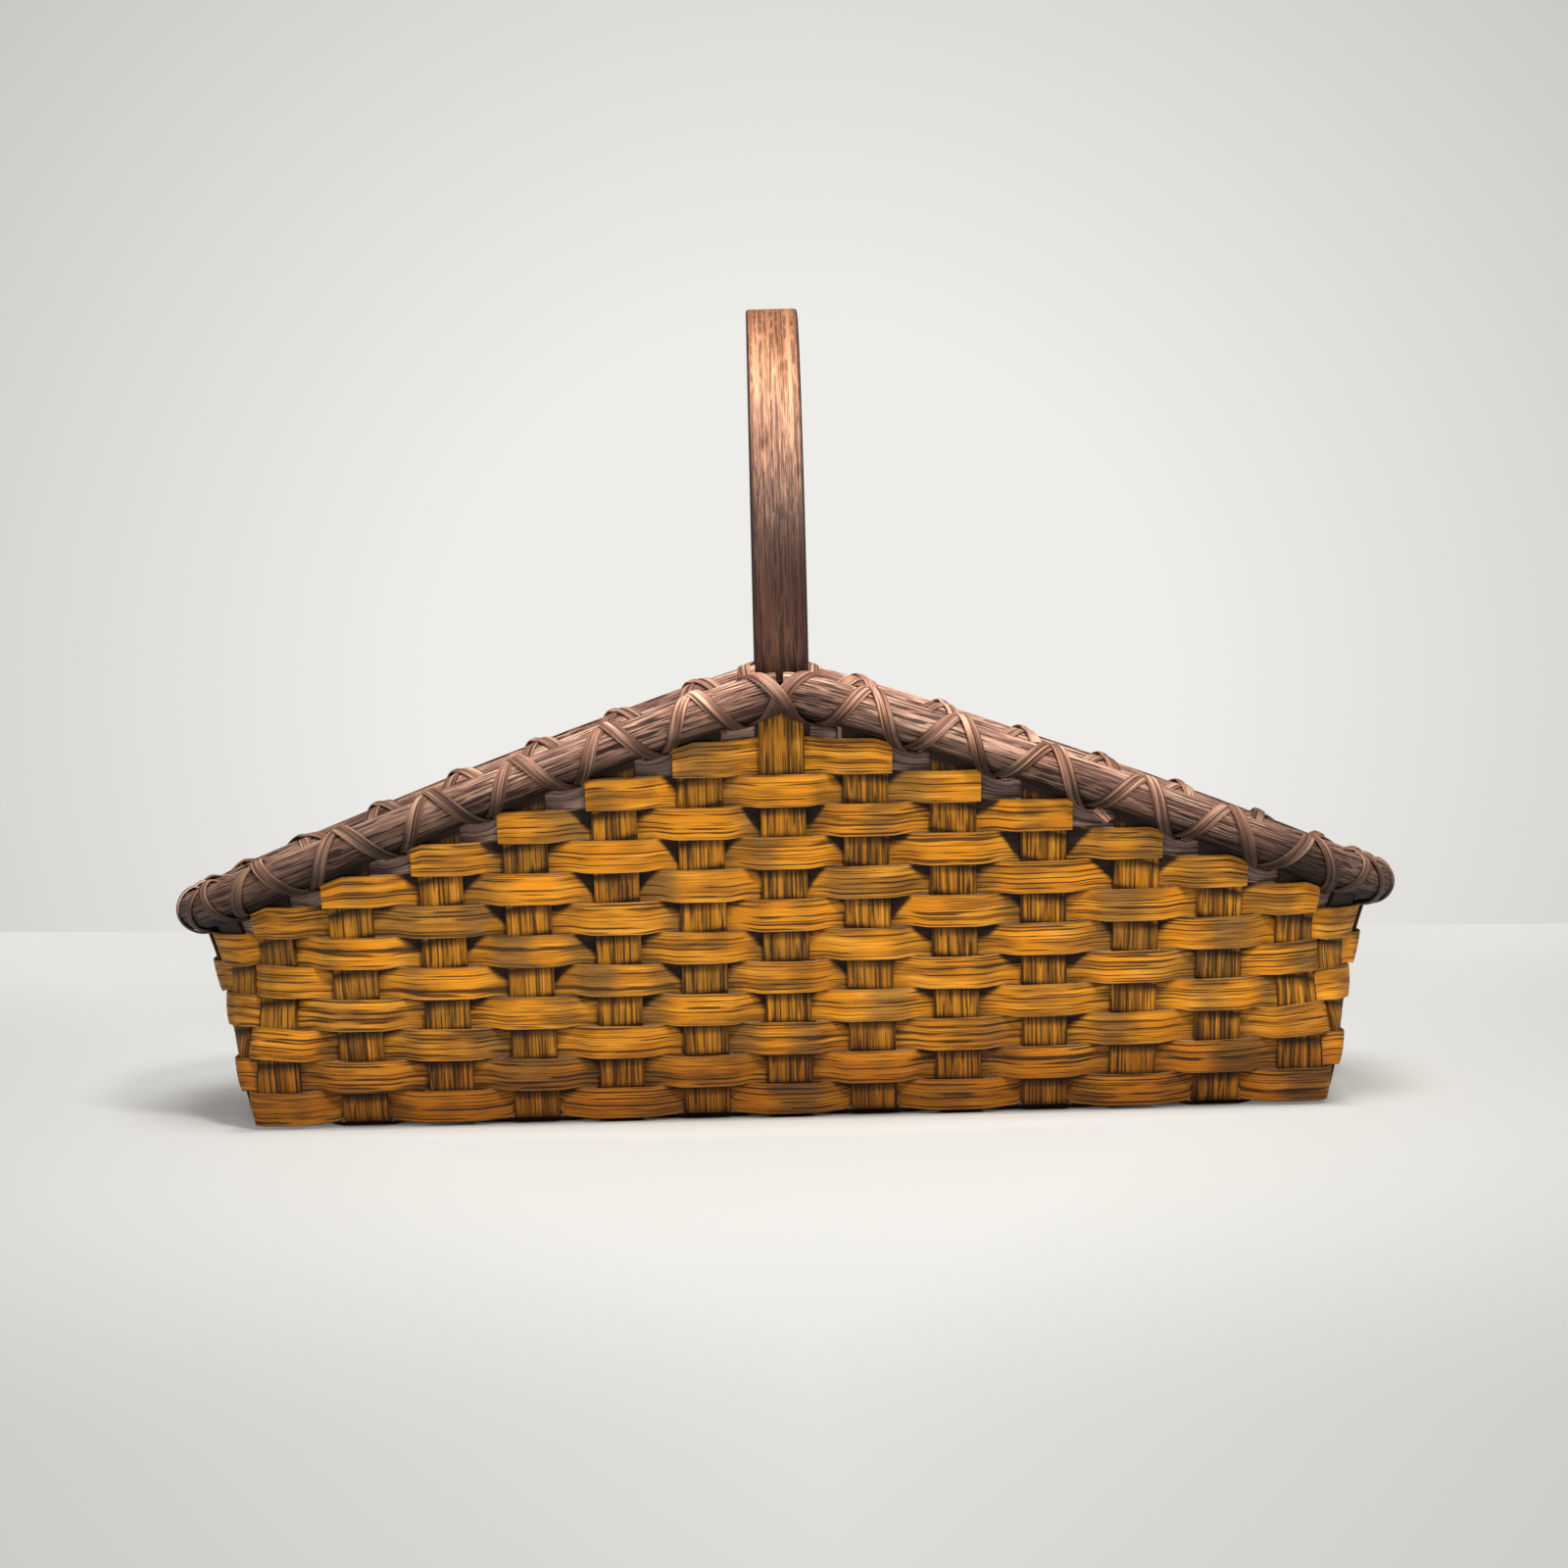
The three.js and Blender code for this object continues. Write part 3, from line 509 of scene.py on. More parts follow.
def planAt(height):
    # Half length, half depth and corner radius of the wall's middle surface
    growth = smoothStep(height, baseLevel + weave["bendRadius"], rowTop(weave["fullRows"]))
    radius = wallShape["baseCorner"] + (wallShape["rimCorner"] - wallShape["baseCorner"]) * growth
    share = min(max(height / rowTop(weave["fullRows"]), 0), 1)
    length = halfLength + wallShape["endLean"] * height - wallShape["endHollow"] * 4 * share * (1 - share)
    return length, halfDepth + wallShape["sideLean"] * height, radius


def quarterLength(height):
    length, depth, radius = planAt(height)
    return length + depth - 2 * radius + radius * math.pi / 2


def wallQuarter(arc, height):
    # A point at an arc length from the front's middle towards the right end
    length, depth, radius = planAt(height)
    straight = length - radius
    if arc <= straight:
        return Vector((arc, -depth, height))
    angle = (arc - straight) / radius
    if angle <= math.pi / 2:
        return Vector((straight + radius * math.sin(angle),
                       -(depth - radius + radius * math.cos(angle)), height))
    return Vector((length, -(depth - radius) + (angle - math.pi / 2) * radius, height))


def quarterArc(place, height):
    fan = 1 + wallShape["fan"] * height
    lastFront = (weave["crossCount"] - crossMiddle) * weave["crossPitch"] * fan
    firstEnd = quarterLength(height) - (longMiddle - 1) * weave["longPitch"] * fan
    if place <= weave["crossCount"]:
        return (place - crossMiddle) * weave["crossPitch"] * fan
    if place >= weave["crossCount"] + 1:
        return quarterLength(height) - (rightMiddle - place) * weave["longPitch"] * fan
    return lastFront + (firstEnd - lastFront) * (place - weave["crossCount"])


handDrift = {
    # How far each front stake stands off its even place, in mm to the right at the gable's top
    "front": [0, -0.4, 1.7, 1.1, 2.1, 1.5, -0.8, -3.0, -3.4, -2.3, 0, -1.2, -2.4],
    "atBase": 0.35,   # share of that at the base
    "other": 1.6,     # most for the stakes of the other walls, drawn from smooth noise
}


def drift(place, height):
    turned = (place - 1) % stakeLegs
    share = handDrift["atBase"] + (1 - handDrift["atBase"]) * smoothStep(height, 5, 110)
    if turned <= weave["crossCount"] - 1:
        low = min(int(turned), weave["crossCount"] - 2)
        first, second = handDrift["front"][low:low + 2]
        return (first + (second - first) * (turned - low)) * share
    past = turned - weave["crossCount"] + 1
    lateral = smoothStep(min(past, stakeLegs - turned), 0, 2)
    start = handDrift["front"][-1] * (1 - smoothStep(past, 0, 2))
    return (noise.noise(Vector((turned * 0.45, 3.1, 0.7))) * handDrift["other"] * lateral + start) * share


def wallPoint(place, shift, height):
    # Places run round the basket, 1 at the front left; a shift moves along the wall in mm
    shift += drift(place, height)
    half = stakeLegs / 2
    turn = (place - crossMiddle) % stakeLegs
    behind = rightMiddle - crossMiddle < turn <= half + rightMiddle - crossMiddle
    if behind:
        fromFront = half - turn
    else:
        fromFront = turn - stakeLegs if turn > half else turn
    sign = -1 if fromFront < 0 else 1
    arc = sign * quarterArc(crossMiddle + abs(fromFront), height)
    arc += -shift if behind else shift
    point = wallQuarter(abs(arc), height)
    if arc < 0:
        point.x = -point.x
    if behind:
        point.y = -point.y
    return point


def wallOutward(place, shift, height):
    step = 0.4
    along = wallPoint(place, shift + step, height) - wallPoint(place, shift - step, height)
    up = wallPoint(place, shift, height + step) - wallPoint(place, shift, height - step)
    return along.cross(up).normalized()


def rimLevel(distance):
    def drop(x):
        return wallShape["slope"] * (math.hypot(x, wallShape["rounding"]) - wallShape["rounding"])
    reach = halfLength + wallShape["endLean"] * endRimLevel
    droop = (peakRimLevel - drop(reach) - endRimLevel) / reach ** 2
    return peakRimLevel - drop(distance) - droop * distance ** 2


def rimPoint(place):
    height = peakRimLevel
    for _ in range(12):
        point = wallPoint(place, 0, height)
        height = rimLevel(point.x)
    return wallPoint(place, 0, height)


def rimAxes(place):
    step = 0.02
    point = rimPoint(place)
    along = (rimPoint(place + step) - rimPoint(place - step)).normalized()
    rise = wallPoint(place, 0, point.z + 1) - point
    outward = along.cross(rise).normalized()
    return point, along, outward, outward.cross(along).normalized()


def weaveSide(place, parity, flatShare):
    # 1 outside a stake, -1 inside it, with a soft pass in the gap between two stakes
    nearest = round(place)
    sign = 1 if (nearest + parity) % 2 == 0 else -1
    past = abs(place - nearest)
    if past <= flatShare:
        return sign
    return sign * math.cos((past - flatShare) / (0.5 - flatShare) * math.pi / 2)


def wander(seed, along, size, reach=60.0):
    # A small smooth irregularity, the same in each run
    return noise.noise(Vector((along / reach, seed * 7.31, 0.37))) * size


# Meshes

def sweepGrid(stations, across, outward=None, marks=None, stainAndShade=None, isTube=False, bm=None, finish=0):
    # A grid laid through rows of points, with the place along and across it in mm as its map
    columns, rows = len(stations[0]), len(stations)
    bm = bm or bmesh.new()
    stripPlace = bm.loops.layers.uv.get("stripPlace") or bm.loops.layers.uv.new("stripPlace")
    weaveSpot = bm.loops.layers.uv.get("weaveSpot") or bm.loops.layers.uv.new("weaveSpot")
    darkStainAndShade = bm.verts.layers.float.get("darkStainAndShade") or bm.verts.layers.float.new("darkStainAndShade")
    made = bmesh.ops.create_grid(bm, x_segments=columns - 1, y_segments=rows - 1, size=1)["verts"]
    middle = columns // 2
    lengths = [random.uniform(0, 900)]
    for before, after in zip(stations, stations[1:]):
        lengths.append(lengths[-1] + (after[middle] - before[middle]).length)
    sideStart = random.uniform(0, 300)
    spots = {}
    for vert in made:
        column = round((vert.co.x + 1) / 2 * (columns - 1))
        row = round((vert.co.y + 1) / 2 * (rows - 1))
        spots[vert] = (row, column)
    faces = [face for face in bm.faces if face.verts[0] in spots]
    for face in faces:
        face.smooth = True
        face.material_index = finish
        for loop in face.loops:
            row, column = spots[loop.vert]
            loop[stripPlace].uv = (lengths[row], across[column] + sideStart)
            loop[weaveSpot].uv = (marks[row] if marks else 0, column / (columns - 1) * 2 - 1)
    for vert, (row, column) in spots.items():
        vert.co = stations[row][column] * mm
        vert[darkStainAndShade] = stainAndShade[row] if stainAndShade else 0
    if isTube:
        bmesh.ops.remove_doubles(bm, verts=made, dist=1e-7)
        bmesh.ops.holes_fill(bm, edges=[edge for edge in bm.edges if edge.is_boundary])
        bmesh.ops.recalc_face_normals(bm, faces=bm.faces)
    else:
        bm.normal_update()
        first = next(face for face in faces if all(spots[vert][0] < 2 for vert in face.verts))
        if first.normal.dot(outward) < 0:
            bmesh.ops.reverse_faces(bm, faces=faces)
    return bm


def makePiece(name, bm, node, finishes, thickness=0.0, edge=0.3):
    mesh = bpy.data.meshes.new(name)
    bm.to_mesh(mesh)
    bm.free()
    for finish in finishes:
        mesh.materials.append(finish)
    piece = bpy.data.objects.new(name, mesh)
    collection.objects.link(piece)
    if thickness:
        wallUp = piece.modifiers.new("splintThickness", "SOLIDIFY")
        wallUp.thickness = thickness * mm
        wallUp.offset = 0
        wallUp.material_offset = len(finishes) - 1
    if edge:
        ease = piece.modifiers.new("easedEdges", "BEVEL")
        ease.width = edge * mm
        ease.segments = 2
        ease.limit_method = "ANGLE"
        ease.angle_limit = math.radians(40)
        ease.harden_normals = True
    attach(piece, "root")
    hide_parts(node)


def twoDigits(value):
    return str(value).zfill(2)


# Stakes

stake = {
    "columns": 5, "crown": 0.2, "wallStep": 4.0, "bendSteps": 5, "waveSteps": 10,
    "narrowing": 0.012,   # share by which the shaved edges wander in and out
    "drawnThickness": weave["stakeThickness"] - 0.1,   # strips that cross stay a hair apart
}
stakeShares = [-1 + 2 * i / (stake["columns"] - 1) for i in range(stake["columns"])]
stakeAcross = [share * weave["stakeWidth"] / 2 for share in stakeShares]


def stakeTop(place, shift):
    height = endRimLevel
    for _ in range(12):
        height = rimLevel(wallPoint(place, shift, height).x) + rim["height"] / 2 - rim["stakeTopBelow"]
    return height


def stakeLeg(place, level, seed):
    # Rows of points from the stake's top down to where the bend starts
    bendTop = level + weave["bendRadius"]
    tops = [stakeTop(place, shift) for shift in stakeAcross]
    count = round((sum(tops) / len(tops) - bendTop) / stake["wallStep"])
    rows = []
    for step in range(count + 1):
        share = step / count
        row = []
        for top, shift, edge in zip(tops, stakeAcross, stakeShares):
            height = top + (bendTop - top) * share
            narrow = 1 - stake["narrowing"] * (1 + wander(seed, height, 2.0))
            point = wallPoint(place, shift * narrow, height)
            row.append(point + wallOutward(place, shift, height) * stake["crown"] * (0.5 - edge * edge))
        rows.append(row)
    return rows


def stakeBend(place, level, inward, line):
    # Turns a leg over onto its straight line across the base
    bendTop = level + weave["bendRadius"]
    rows = []
    for step in range(1, stake["bendSteps"] + 1):
        share = step / stake["bendSteps"]
        row = []
        for shift in stakeAcross:
            wallEnd = wallPoint(place, shift, bendTop)
            corner = wallPoint(place, shift, 0)
            corner.z = level
            base = corner + inward * weave["bendRadius"]
            if inward.y:
                base.x = line + inward.y * shift
            else:
                base.y = line - inward.x * shift
            row.append(wallEnd.lerp(corner, share).lerp(corner.lerp(base, share), share))
        rows.append(row)
    return rows


def crossStake(index):
    x = (index - crossMiddle) * weave["crossPitch"]
    backPlace = 2 * rightMiddle - index
    front = stakeLeg(index, baseLevel, index) + stakeBend(index, baseLevel, Vector((0, 1, 0)), x)
    back = stakeLeg(backPlace, baseLevel, index + 40)
    back += stakeBend(backPlace, baseLevel, Vector((0, -1, 0)), x)
    back = [row[::-1] for row in back[::-1]]
    start, end = front[-1], back[0]
    base = []
    for step in range(1, stake["waveSteps"]):
        share = step / stake["waveSteps"]
        base.append([a.lerp(b, share) for a, b in zip(start, end)])
    return front + base + back


def rowMarks(stations, lastRow):
    # How many rows of weaving lie below each station
    middle = stake["columns"] // 2
    return [min((row[middle].z - weave["lowestRow"]) / rowPitch, lastRow - 0.5) for row in stations]


def underRim(place, height):
    # The rods' underside, which lies further below their middle where they slope
    below = rim["height"] / 2 / math.cos(math.atan(wallShape["slope"]))
    return rimLevel(wallPoint(place, 0, height).x) - below


def bareShares(stations, place, lastRow):
    # Above its last row a stake kept its dark stain, and painted shade darkens it further there under the
    # rims
    middle = stake["columns"] // 2
    start = min(rowTop(lastRow), underRim(place, rowTop(lastRow))) - 2
    return [smoothStep(row[middle].z, start, start + 1.5) for row in stations]


def longStake(index):
    y = (index - longMiddle) * weave["longPitch"]
    flatShare = weave["stakeWidth"] / 2 / weave["crossPitch"]

    def levelAt(cross):
        return baseLevel + baseWave * weaveSide(cross, index, flatShare)

    rightPlace = weave["crossCount"] + index
    leftPlace = stakeLegs + 1 - index
    left = stakeLeg(leftPlace, levelAt(1), index + 60)
    left += stakeBend(leftPlace, levelAt(1), Vector((1, 0, 0)), y)
    right = stakeLeg(rightPlace, levelAt(weave["crossCount"]), index + 80)
    right += stakeBend(rightPlace, levelAt(weave["crossCount"]), Vector((-1, 0, 0)), y)
    base = []
    steps = (weave["crossCount"] - 1) * stake["waveSteps"]
    for step in range(steps + 1):
        cross = 1 + step / stake["waveSteps"]
        x = (cross - crossMiddle) * weave["crossPitch"]
        base.append([Vector((x, y - shift, levelAt(cross))) for shift in stakeAcross])
    return left + base + [row[::-1] for row in right[::-1]]


def makeStake(way, index, place, stations, lastRow, outward):
    number = twoDigits(index)
    marks = rowMarks(stations, min(lastRow, allRows))
    bm = sweepGrid(stations, stakeAcross, outward, marks, bareShares(stations, place, lastRow))
    makePiece(f"{way}StakeSplint{number}", bm, f"{way}_stake_{number}",
              [mustardStakes, stainedSplints], stake["drawnThickness"])


for index in range(1, weave["crossCount"] + 1):
    lastRow = weave["fullRows"] + min(index, weave["crossCount"] + 1 - index)
    makeStake("cross", index, index, crossStake(index), lastRow, Vector((0, -1, 0)))
for index in range(1, weave["longCount"] + 1):
    place = weave["crossCount"] + index
    makeStake("long", index, place, longStake(index), weave["fullRows"], Vector((-1, 0, 0)))
print("stakes are laid and turned up")


# Weaver rows

weaver = {
    "columns": 7, "stepsPerStake": 16,
    "crown": 0.45,        # how far the middle of a float stands proud of its edges
    "arch": 0.75,         # how far a float rises over its stake
    "insideCrown": 0.15,
    "bulge": 0.15,        # how much a float spreads over its stake at its upper edge
    "sag": 0.65,          # and at its lower edge
    "crossing": 0.17,     # and between two stakes, where it meets its neighbours
    "tuck": 0.9,          # and behind a stake
    "endRise": 1.8,       # the rows climb a little towards the ends
    "tailPast": 1.2, "rimRoom": 0.6, "lashRoom": 2.4,
    "wobble": 0.3,
    "topRowRise": 1.3,    # the last rows are pushed up under the rims
    "topRowDips": (0.75, 0.4),   # fewer floats above the last two rows to shade their corners
    "seamGap": 0.6,       # between the two ends of a full row
    "tuckSteps": 12,
    "tuckDip": 0.55,      # share of the way at which a tucked end is all behind its stake
    "tuckRoom": 0.2,      # below the rims
    "drawnThickness": weave["weaverThickness"] - 0.1,
}
weaverShares = [-1 + 2 * i / (weaver["columns"] - 1) for i in range(weaver["columns"])]
weaverAcross = [share * weave["weaverWidth"] / 2 for share in weaverShares]
sideFlat = weave["stakeWidth"] / 2 / weave["crossPitch"]
endFlat = weave["stakeWidth"] / 2 / weave["longPitch"]


def isAtEnd(place):
    turned = (place - 1) % stakeLegs + 1
    return (weave["crossCount"] + 0.5 < turned < weave["crossCount"] + weave["longCount"] + 0.5
            or turned > stakeLegs - weave["longCount"] + 0.5)


def fromFloat(row, place):
    # How far a place is from the nearest stake that the row passes outside, in stakes
    nearest = round(place)
    past = abs(place - nearest)
    return past if (nearest + row) % 2 == 0 else 1 - past


def rowEdge(boundary, place):
    # The wavering line between two rows, the same for the row below and the row above it
    turned = 2 * math.pi * place / stakeLegs
    waver = noise.noise(Vector((8 * math.cos(turned), 8 * math.sin(turned), boundary * 7.31)))
    sideways = abs(wallPoint(place, 0, 60).x) / halfLength
    return waver * weaver["wobble"] + weaver["endRise"] * sideways ** 2 * min(0.4 + boundary * 0.3, 1)


def lashPress(place):
    # The lashing is drawn through between two stakes and needs more room there
    return 1 - smoothStep(abs(place % 1 - 0.5), 0.08, 0.2)


def weaverStation(row, place, room):
    flat = endFlat if isAtEnd(place) else sideFlat
    side = weaveSide(place, row, flat)
    away = fromFloat(row, place)
    widen, sag = [
        weaver["crossing"] + ((aside if side > 0 else weaver["tuck"]) - weaver["crossing"]) * side ** 2
        for aside in (weaver["bulge"], weaver["sag"])
    ]
    bottom = weave["lowestRow"] + (row - 1) * rowPitch
    if row == 1:
        lift = baseLevel + weave["bendRadius"] + (baseWave if isAtEnd(place) else 0) - bottom
        bottom += lift * smoothStep(away, 0.94 - flat, 1.03 - flat)
    else:
        bottom += rowEdge(row - 1, place) - sag
    top = rowTop(row) + rowEdge(row, place) + widen
    if row == allRows:
        top += weaver["topRowRise"]
    room = weaver["rimRoom"] + (room - weaver["rimRoom"]) * lashPress(place)
    top = min(top, underRim(place, top) - room)
    arch = 0 if isAtEnd(place) else weaver["arch"] * max(1 - (away / 0.5) ** 2, 0)
    points = []
    outward = wallOutward(place, 0, (bottom + top) / 2)
    # The float is fullest over the stake, its edges pressed back
    crown = weaver["crown"] * max(side, 0) - weaver["insideCrown"] * max(-side, 0)
    for share in weaverShares:
        height = bottom + (top - bottom) * (share + 1) / 2
        reach = rowOffset * side + arch + crown * (1 - share * share)
        points.append(wallPoint(place, 0, height) + outward * reach)
    dip = min(max((away - flat) / (1 - 2 * flat), 0), 1)
    return points, dip


def weaverRow(row, firstPlace, lastPlace, room):
    steps = round((lastPlace - firstPlace) * weaver["stepsPerStake"])
    made = [weaverStation(row, firstPlace + (lastPlace - firstPlace) * step / steps, room)
            for step in range(steps + 1)]
    return [points for points, dip in made], [dip for points, dip in made]


def tuckedEnd(row, endStake, way):
    # Past its last float a gable row dips behind the next stake, unpainted and cut under the rim
    stations = []
    for step in range(weaver["tuckSteps"] + 1):
        share = step / weaver["tuckSteps"]
        place = endStake + way * (sideFlat - 0.02 + (1 - sideFlat) * share)
        dip = smoothStep(share, 0, weaver["tuckDip"])
        bottom = weave["lowestRow"] + (row - 1) * rowPitch + rowEdge(row - 1, place) + 0.3 - dip
        top = underRim(place, rowTop(row)) - weaver["tuckRoom"] - weaver["lashRoom"] * lashPress(place)
        top = max(min(rowTop(row) + rowEdge(row, place) + 1 - dip, top), bottom + 1)
        outward = wallOutward(place, 0, bottom)
        reach = 0.1 - (rowOffset + 0.1) * dip
        points = [wallPoint(place, 0, bottom + (top - bottom) * (share + 1) / 2) + outward * reach
                  for share in weaverShares]
        stations.append(points)
    return stations


for row in range(1, weave["fullRows"] + 1):
    # The ends of a full row meet behind a stake of the left end, where it passes inside
    seam = stakeLegs - 2 + (row + 1) % 2
    joint = weaver["seamGap"] / 2 / weave["longPitch"]
    room = weaver["lashRoom"] if row == weave["fullRows"] else weaver["rimRoom"]
    stations, dips = weaverRow(row, seam - stakeLegs + joint, seam - joint, room)
    bm = sweepGrid(stations, weaverAcross, wallOutward(seam, 0, 40), dips)
    number = twoDigits(row)
    makePiece(f"weaverRow{number}", bm, f"weaver_row_{number}",
              [mustardWeavers, stainedSplints], weaver["drawnThickness"])
for row in range(weave["fullRows"] + 1, allRows + 1):
    number = twoDigits(row)
    # The rows of a gable end outside their last stakes
    reach = crossMiddle - 1 - (row - weave["fullRows"] - 1)
    past = (weave["stakeWidth"] / 2 + weaver["tailPast"]) / weave["crossPitch"]
    for sideName, centre in (("front", crossMiddle), ("back", crossMiddle + stakeLegs / 2)):
        stations, dips = weaverRow(row, centre - reach - past, centre + reach + past, weaver["rimRoom"])
        if row >= allRows - 1:
            dips = [dip * weaver["topRowDips"][row - allRows + 1] for dip in dips]
        bm = sweepGrid(stations, weaverAcross, wallOutward(centre - reach, 0, 120), dips)
        for way in (-1, 1):
            tail = tuckedEnd(row, centre + way * reach, way)
            bm = sweepGrid(tail, weaverAcross, wallOutward(centre + way * reach, 0, 120), bm=bm, finish=1)
        makePiece(f"{sideName}GableRow{number}", bm, f"{sideName}_gable_row_{number}",
                  [mustardWeavers, stainedSplints], weaver["drawnThickness"])
print("weaver rows are woven")


# Rims

outerFlat = weave["stakeThickness"] / 2 + weave["clearance"]
innerFlat = outerFlat + weave["stakeWidth"] ** 2 / 8 / wallShape["rimCorner"] + weave["clearance"] / 2
handleShape = {
    "width": 22.0, "thickness": 5.0, "legThickness": 3.0, "foot": 16.0,
    "edge": 1.3, "legSteps": 24, "arcSteps": 72, "cornerSteps": 4,
}
rod = {
    "steps": 240, "cornerSteps": 12,
    "hewn": 0.02,         # share by which the shaved faces rise and fall
    "swingIn": 1.1,       # stakes over which an inner rod swings in beside a handle leg
    "swellReach": 2.2,    # stakes from a peak over which the rods thicken towards it
}


def fromPeak(place):
    # Stakes to the nearer of the two gable peaks
    half = stakeLegs / 2
    return abs((place - crossMiddle + half / 2) % half - half / 2)


def legStandOff(place):
    # The inner rim swings in where a handle leg passes behind it
    full = handleShape["legThickness"] + weave["weaverThickness"] + 2 * weave["clearance"]
    wideEnd = (handleShape["width"] / 2 + 3) / weave["crossPitch"]
    return full * (1 - smoothStep(fromPeak(place), wideEnd, wideEnd + rod["swingIn"]))


def swelling(place):
    return 1 + rim["peakSwell"] * (1 - smoothStep(fromPeak(place), 0, rod["swellReach"]))


def rimRod(firstPeak, side, seed):
    gap = rim["jointGap"] / 2 / weave["crossPitch"]
    stations = []
    for step in range(rod["steps"] + 1):
        place = firstPeak + gap + (stakeLegs / 2 - 2 * gap) * step / rod["steps"]
        point, along, outward, up = rimAxes(place)
        flat = outerFlat if side > 0 else innerFlat + legStandOff(place)
        if side < 0:
            point -= up * rim["innerDrop"]
        full = swelling(place) * (1 + wander(seed, place * 35, 0.035, 45))
        row = []
        for corner in range(rod["cornerSteps"] + 1):
            angle = -math.pi / 2 + math.pi * corner / rod["cornerSteps"]
            hew = 1 + rod["hewn"] * noise.noise(Vector((place * 1.4, corner * 0.9, seed)))
            reach = side * (flat + rim["depth"] * full * hew * math.cos(angle))
            rise = rim["height"] / 2 * full * hew * math.sin(angle)
            row.append(point + outward * reach + up * rise)
        row.append(row[0].copy())
        if step in (0, rod["steps"]):
            # Square cut rods that meet at an angle leave an open notch at the top
            away = along if step == 0 else -along
            row = [
                spot + away * rim["notch"] * (0.5 + (spot - point).dot(up) / rim["height"]) for spot in row
            ]
        stations.append(row)
    arcs = [rim["depth"] * math.pi * corner / rod["cornerSteps"] for corner in range(rod["cornerSteps"] + 1)]
    return sweepGrid(stations, arcs + [arcs[-1] + rim["height"]], isTube=True)


for name, node, peak, side, seed, wood in (
    ("outerRimRight", "outer_rim_right", crossMiddle, 1, 1, stainedRims),
    ("outerRimLeft", "outer_rim_left", crossMiddle + stakeLegs / 2, 1, 2, stainedRims),
    ("innerRimRight", "inner_rim_right", crossMiddle, -1, 3, stainedInnerRims),
    ("innerRimLeft", "inner_rim_left", crossMiddle + stakeLegs / 2, -1, 4, stainedInnerRims),
):
    makePiece(name, rimRod(peak, side, seed), node, [wood], edge=0.7)
print("rims are in place")


# Lashing

lash = {
    "width": 5.6, "thickness": 0.8, "slack": 0.1, "crown": 0.45, "edge": 0.35,
    "tailStake": 10.5, "stepsPerTurn": 40, "columns": 7,
    "peakSpread": 0.36,   # how far the strands pass to each side of a peak, in stakes
    "peakEase": 0.79,     # below 1 the strands cross lower down on the face of the rod
    "peakLift": (0.55, 0.68),    # share of a turn over which the upper strand rises past the lower
    # The cut end: its start and run in stakes; then its distance off the rods, drop below them and half
    # width, each at its start and how it changes
    "tailStart": 0.12, "tailRun": 0.16, "tailSteps": 5,
    "tailOff": (2.5, 4.0), "tailDrop": (1.0, 2.4), "tailWide": (2.3, -0.7), "tailHighlight": 1.5,
}
lashShares = [-1 + 2 * i / (lash["columns"] - 1) for i in range(lash["columns"])]
lashAcross = [share * lash["width"] / 2 for share in lashShares]


def lashSpot(hand, turns):
    # A point on the strand and how it faces, after a number of turns round the rims
    turn = math.floor(turns)
    share = turns - turn
    stakeNumber = round(lash["tailStake"] + 0.5) + turn
    atPeak = fromPeak(stakeNumber) == 0
    topShift = hand * lash["peakSpread"] if atPeak else 0
    ease = lash["peakEase"] if atPeak else 1
    if share <= 0.5:
        progress = -0.5 + (0.5 + topShift) * (share * 2) ** (ease if hand > 0 else 1)
    else:
        progress = 0.5 - (0.5 - topShift) * (2 - share * 2) ** (ease if hand < 0 else 1)
    around = share if hand > 0 else 1 - share
    place = stakeNumber + progress
    point, _, outward, up = rimAxes(place)
    legFlat = innerFlat + legStandOff(place)
    rodRadius = rim["height"] / 2 * swelling(place)
    lift = math.cos(2 * math.pi * share) ** 4 if hand < 0 else 0
    if hand < 0 and atPeak and share >= 0.25:
        # At a peak the strands cross on the face of the rod, and not at its top
        lift = smoothStep(share, *lash["peakLift"])
    standOff = lash["slack"] + lash["thickness"] / 2 + lift * (lash["thickness"] + lash["crown"] * 0.5)
    # The strand's way round the section: half the bottom, outer arc, top, inner arc, half the bottom
    bridge = outerFlat + legFlat
    arc = math.pi * (rodRadius + standOff)
    way = around * (2 * arc + 2 * bridge)
    middle = (outerFlat - legFlat) / 2
    if way < bridge / 2:
        reach, angle = middle + way, -math.pi / 2
    elif way < bridge / 2 + arc:
        reach, angle = outerFlat, -math.pi / 2 + (way - bridge / 2) / arc * math.pi
    elif way < bridge * 1.5 + arc:
        reach, angle = outerFlat - (way - bridge / 2 - arc), math.pi / 2
    elif way < bridge * 1.5 + 2 * arc:
        reach, angle = -legFlat, math.pi / 2 + (way - bridge * 1.5 - arc) / arc * math.pi
    else:
        reach, angle = -legFlat + (way - bridge * 1.5 - 2 * arc), -math.pi / 2
    facing = outward * math.cos(angle) + up * math.sin(angle)
    spot = point + outward * reach + facing * (rodRadius + standOff)
    inward = min(max((outerFlat - (spot - point).dot(outward)) / bridge, 0), 1)
    return spot - up * rim["innerDrop"] * inward, facing


def lashing(hand):
    count = stakeLegs * lash["stepsPerTurn"]
    spots = [lashSpot(hand, step / lash["stepsPerTurn"]) for step in range(count)]
    stations = []
    for index, (point, facing) in enumerate(spots):
        before = spots[max(index - 1, 0)][0]
        after = spots[min(index + 1, count - 1)][0]
        across = facing.cross(after - before).normalized()
        stations.append([
            point + across * share * lash["width"] / 2 + facing * lash["crown"] * (0.6 - share * share)
            for share in lashShares
        ])
    rise = [facing.z for point, facing in spots]
    return sweepGrid(stations, lashAcross, spots[0][1], rise)


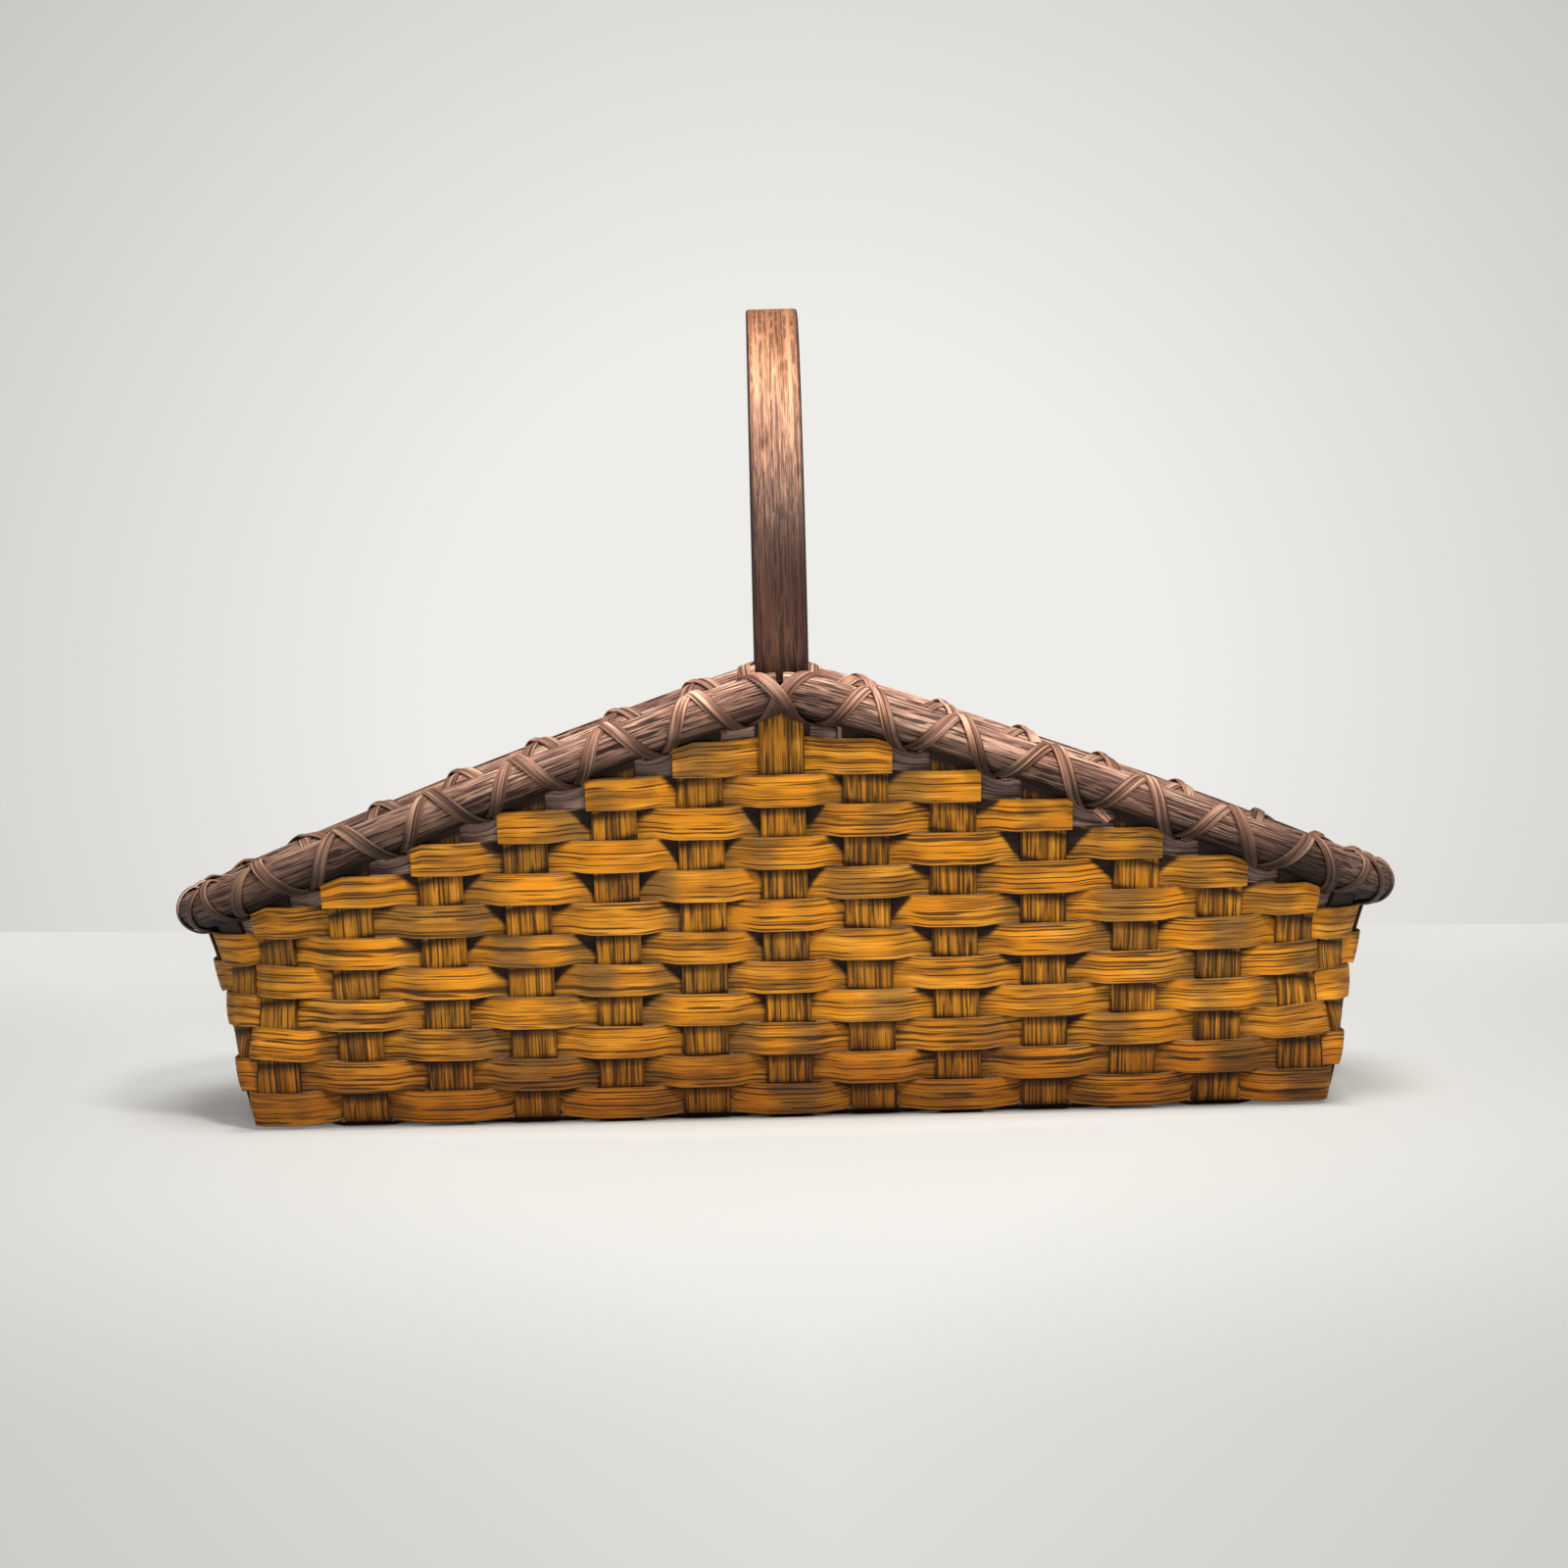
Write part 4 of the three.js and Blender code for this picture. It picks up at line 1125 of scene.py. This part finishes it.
def looseTail():
    # The cut end of the strand stands out a little below the rods
    stations = []
    for step in range(lash["tailSteps"] + 1):
        share = step / lash["tailSteps"]
        point, along, outward, up = rimAxes(lash["tailStake"] + lash["tailStart"] + lash["tailRun"] * share)
        off, drop, half = [
            lash[key][0] + lash[key][1] * share for key in ("tailOff", "tailDrop", "tailWide")
        ]
        spot = point + outward * (outerFlat + off) - up * (rim["height"] / 2 + drop)
        across = (up + along * 0.5).normalized() * half
        stations.append([spot + across * side for side in (-1, 0, 1)])
    return stations


makePiece("lashingUnder", lashing(1), "lashing_under", [stainedLashing], lash["thickness"],
          lash["edge"])
tail = looseTail()
# The cut end takes the lashing's full painted top highlight
bm = sweepGrid(tail, (-2, 0, 2), Vector((0, -1, 0)), [lash["tailHighlight"]] * len(tail), bm=lashing(-1))
makePiece("lashingOver", bm, "lashing_over", [stainedLashing], lash["thickness"], lash["edge"])
print("rims are lashed")


# Handle

def hoopHandle():
    lean = math.atan(wallShape["sideLean"])
    legOffset = rowOffset + weave["weaverThickness"] / 2 + weave["clearance"]
    legOffset += handleShape["legThickness"] / 2
    legFoot = halfDepth - legOffset / math.cos(lean)
    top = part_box("handle")[1].z / mm - handleShape["thickness"] / 2
    radius = (legFoot + wallShape["sideLean"] * top) / (
        math.cos(lean) + wallShape["sideLean"] * (1 + math.sin(lean)))
    centre = top - radius
    join = centre - radius * math.sin(lean)
    swell = peakRimLevel + rim["height"] / 2
    path = []
    thicker = handleShape["thickness"] - handleShape["legThickness"]
    for step in range(handleShape["legSteps"] + 1):
        height = handleShape["foot"] + (join - handleShape["foot"]) * step / handleShape["legSteps"]
        thick = handleShape["legThickness"] + thicker * smoothStep(height, swell, join)
        path.append((-(legFoot + wallShape["sideLean"] * height), height, -lean, thick))
    for step in range(1, handleShape["arcSteps"]):
        angle = -lean + (math.pi + 2 * lean) * step / handleShape["arcSteps"]
        path.append((-math.cos(angle) * radius, centre + radius * math.sin(angle), angle,
                     handleShape["thickness"]))
    for y, z, _, thick in path[handleShape["legSteps"]::-1]:
        path.append((-y, z, math.pi + lean, thick))
    # Section of the strap: flat, with its long edges rounded over
    half, edge = handleShape["width"] / 2, handleShape["edge"]
    stations = []
    for y, z, angle, thick in path:
        facing = Vector((0, -math.cos(angle), math.sin(angle)))
        section = []
        for cornerX, cornerOut, start in ((1, 1, 0), (-1, 1, 90), (-1, -1, 180), (1, -1, 270)):
            ease = min(edge, thick / 2 - 0.05)
            for part in range(handleShape["cornerSteps"] + 1):
                bow = math.radians(start + 90 / handleShape["cornerSteps"] * part)
                section.append((cornerX * (half - ease) + ease * math.cos(bow),
                                cornerOut * (thick / 2 - ease) + ease * math.sin(bow)))
        section.append(section[0])
        stations.append([Vector((x, y, z)) + facing * out for x, out in section])
        across = [x for x, out in section]
    return sweepGrid(stations, across, isTube=True)


makePiece("hoopHandle", hoopHandle(), "handle", [bentHandleWood], edge=0.0)
print("handle is bent and set")
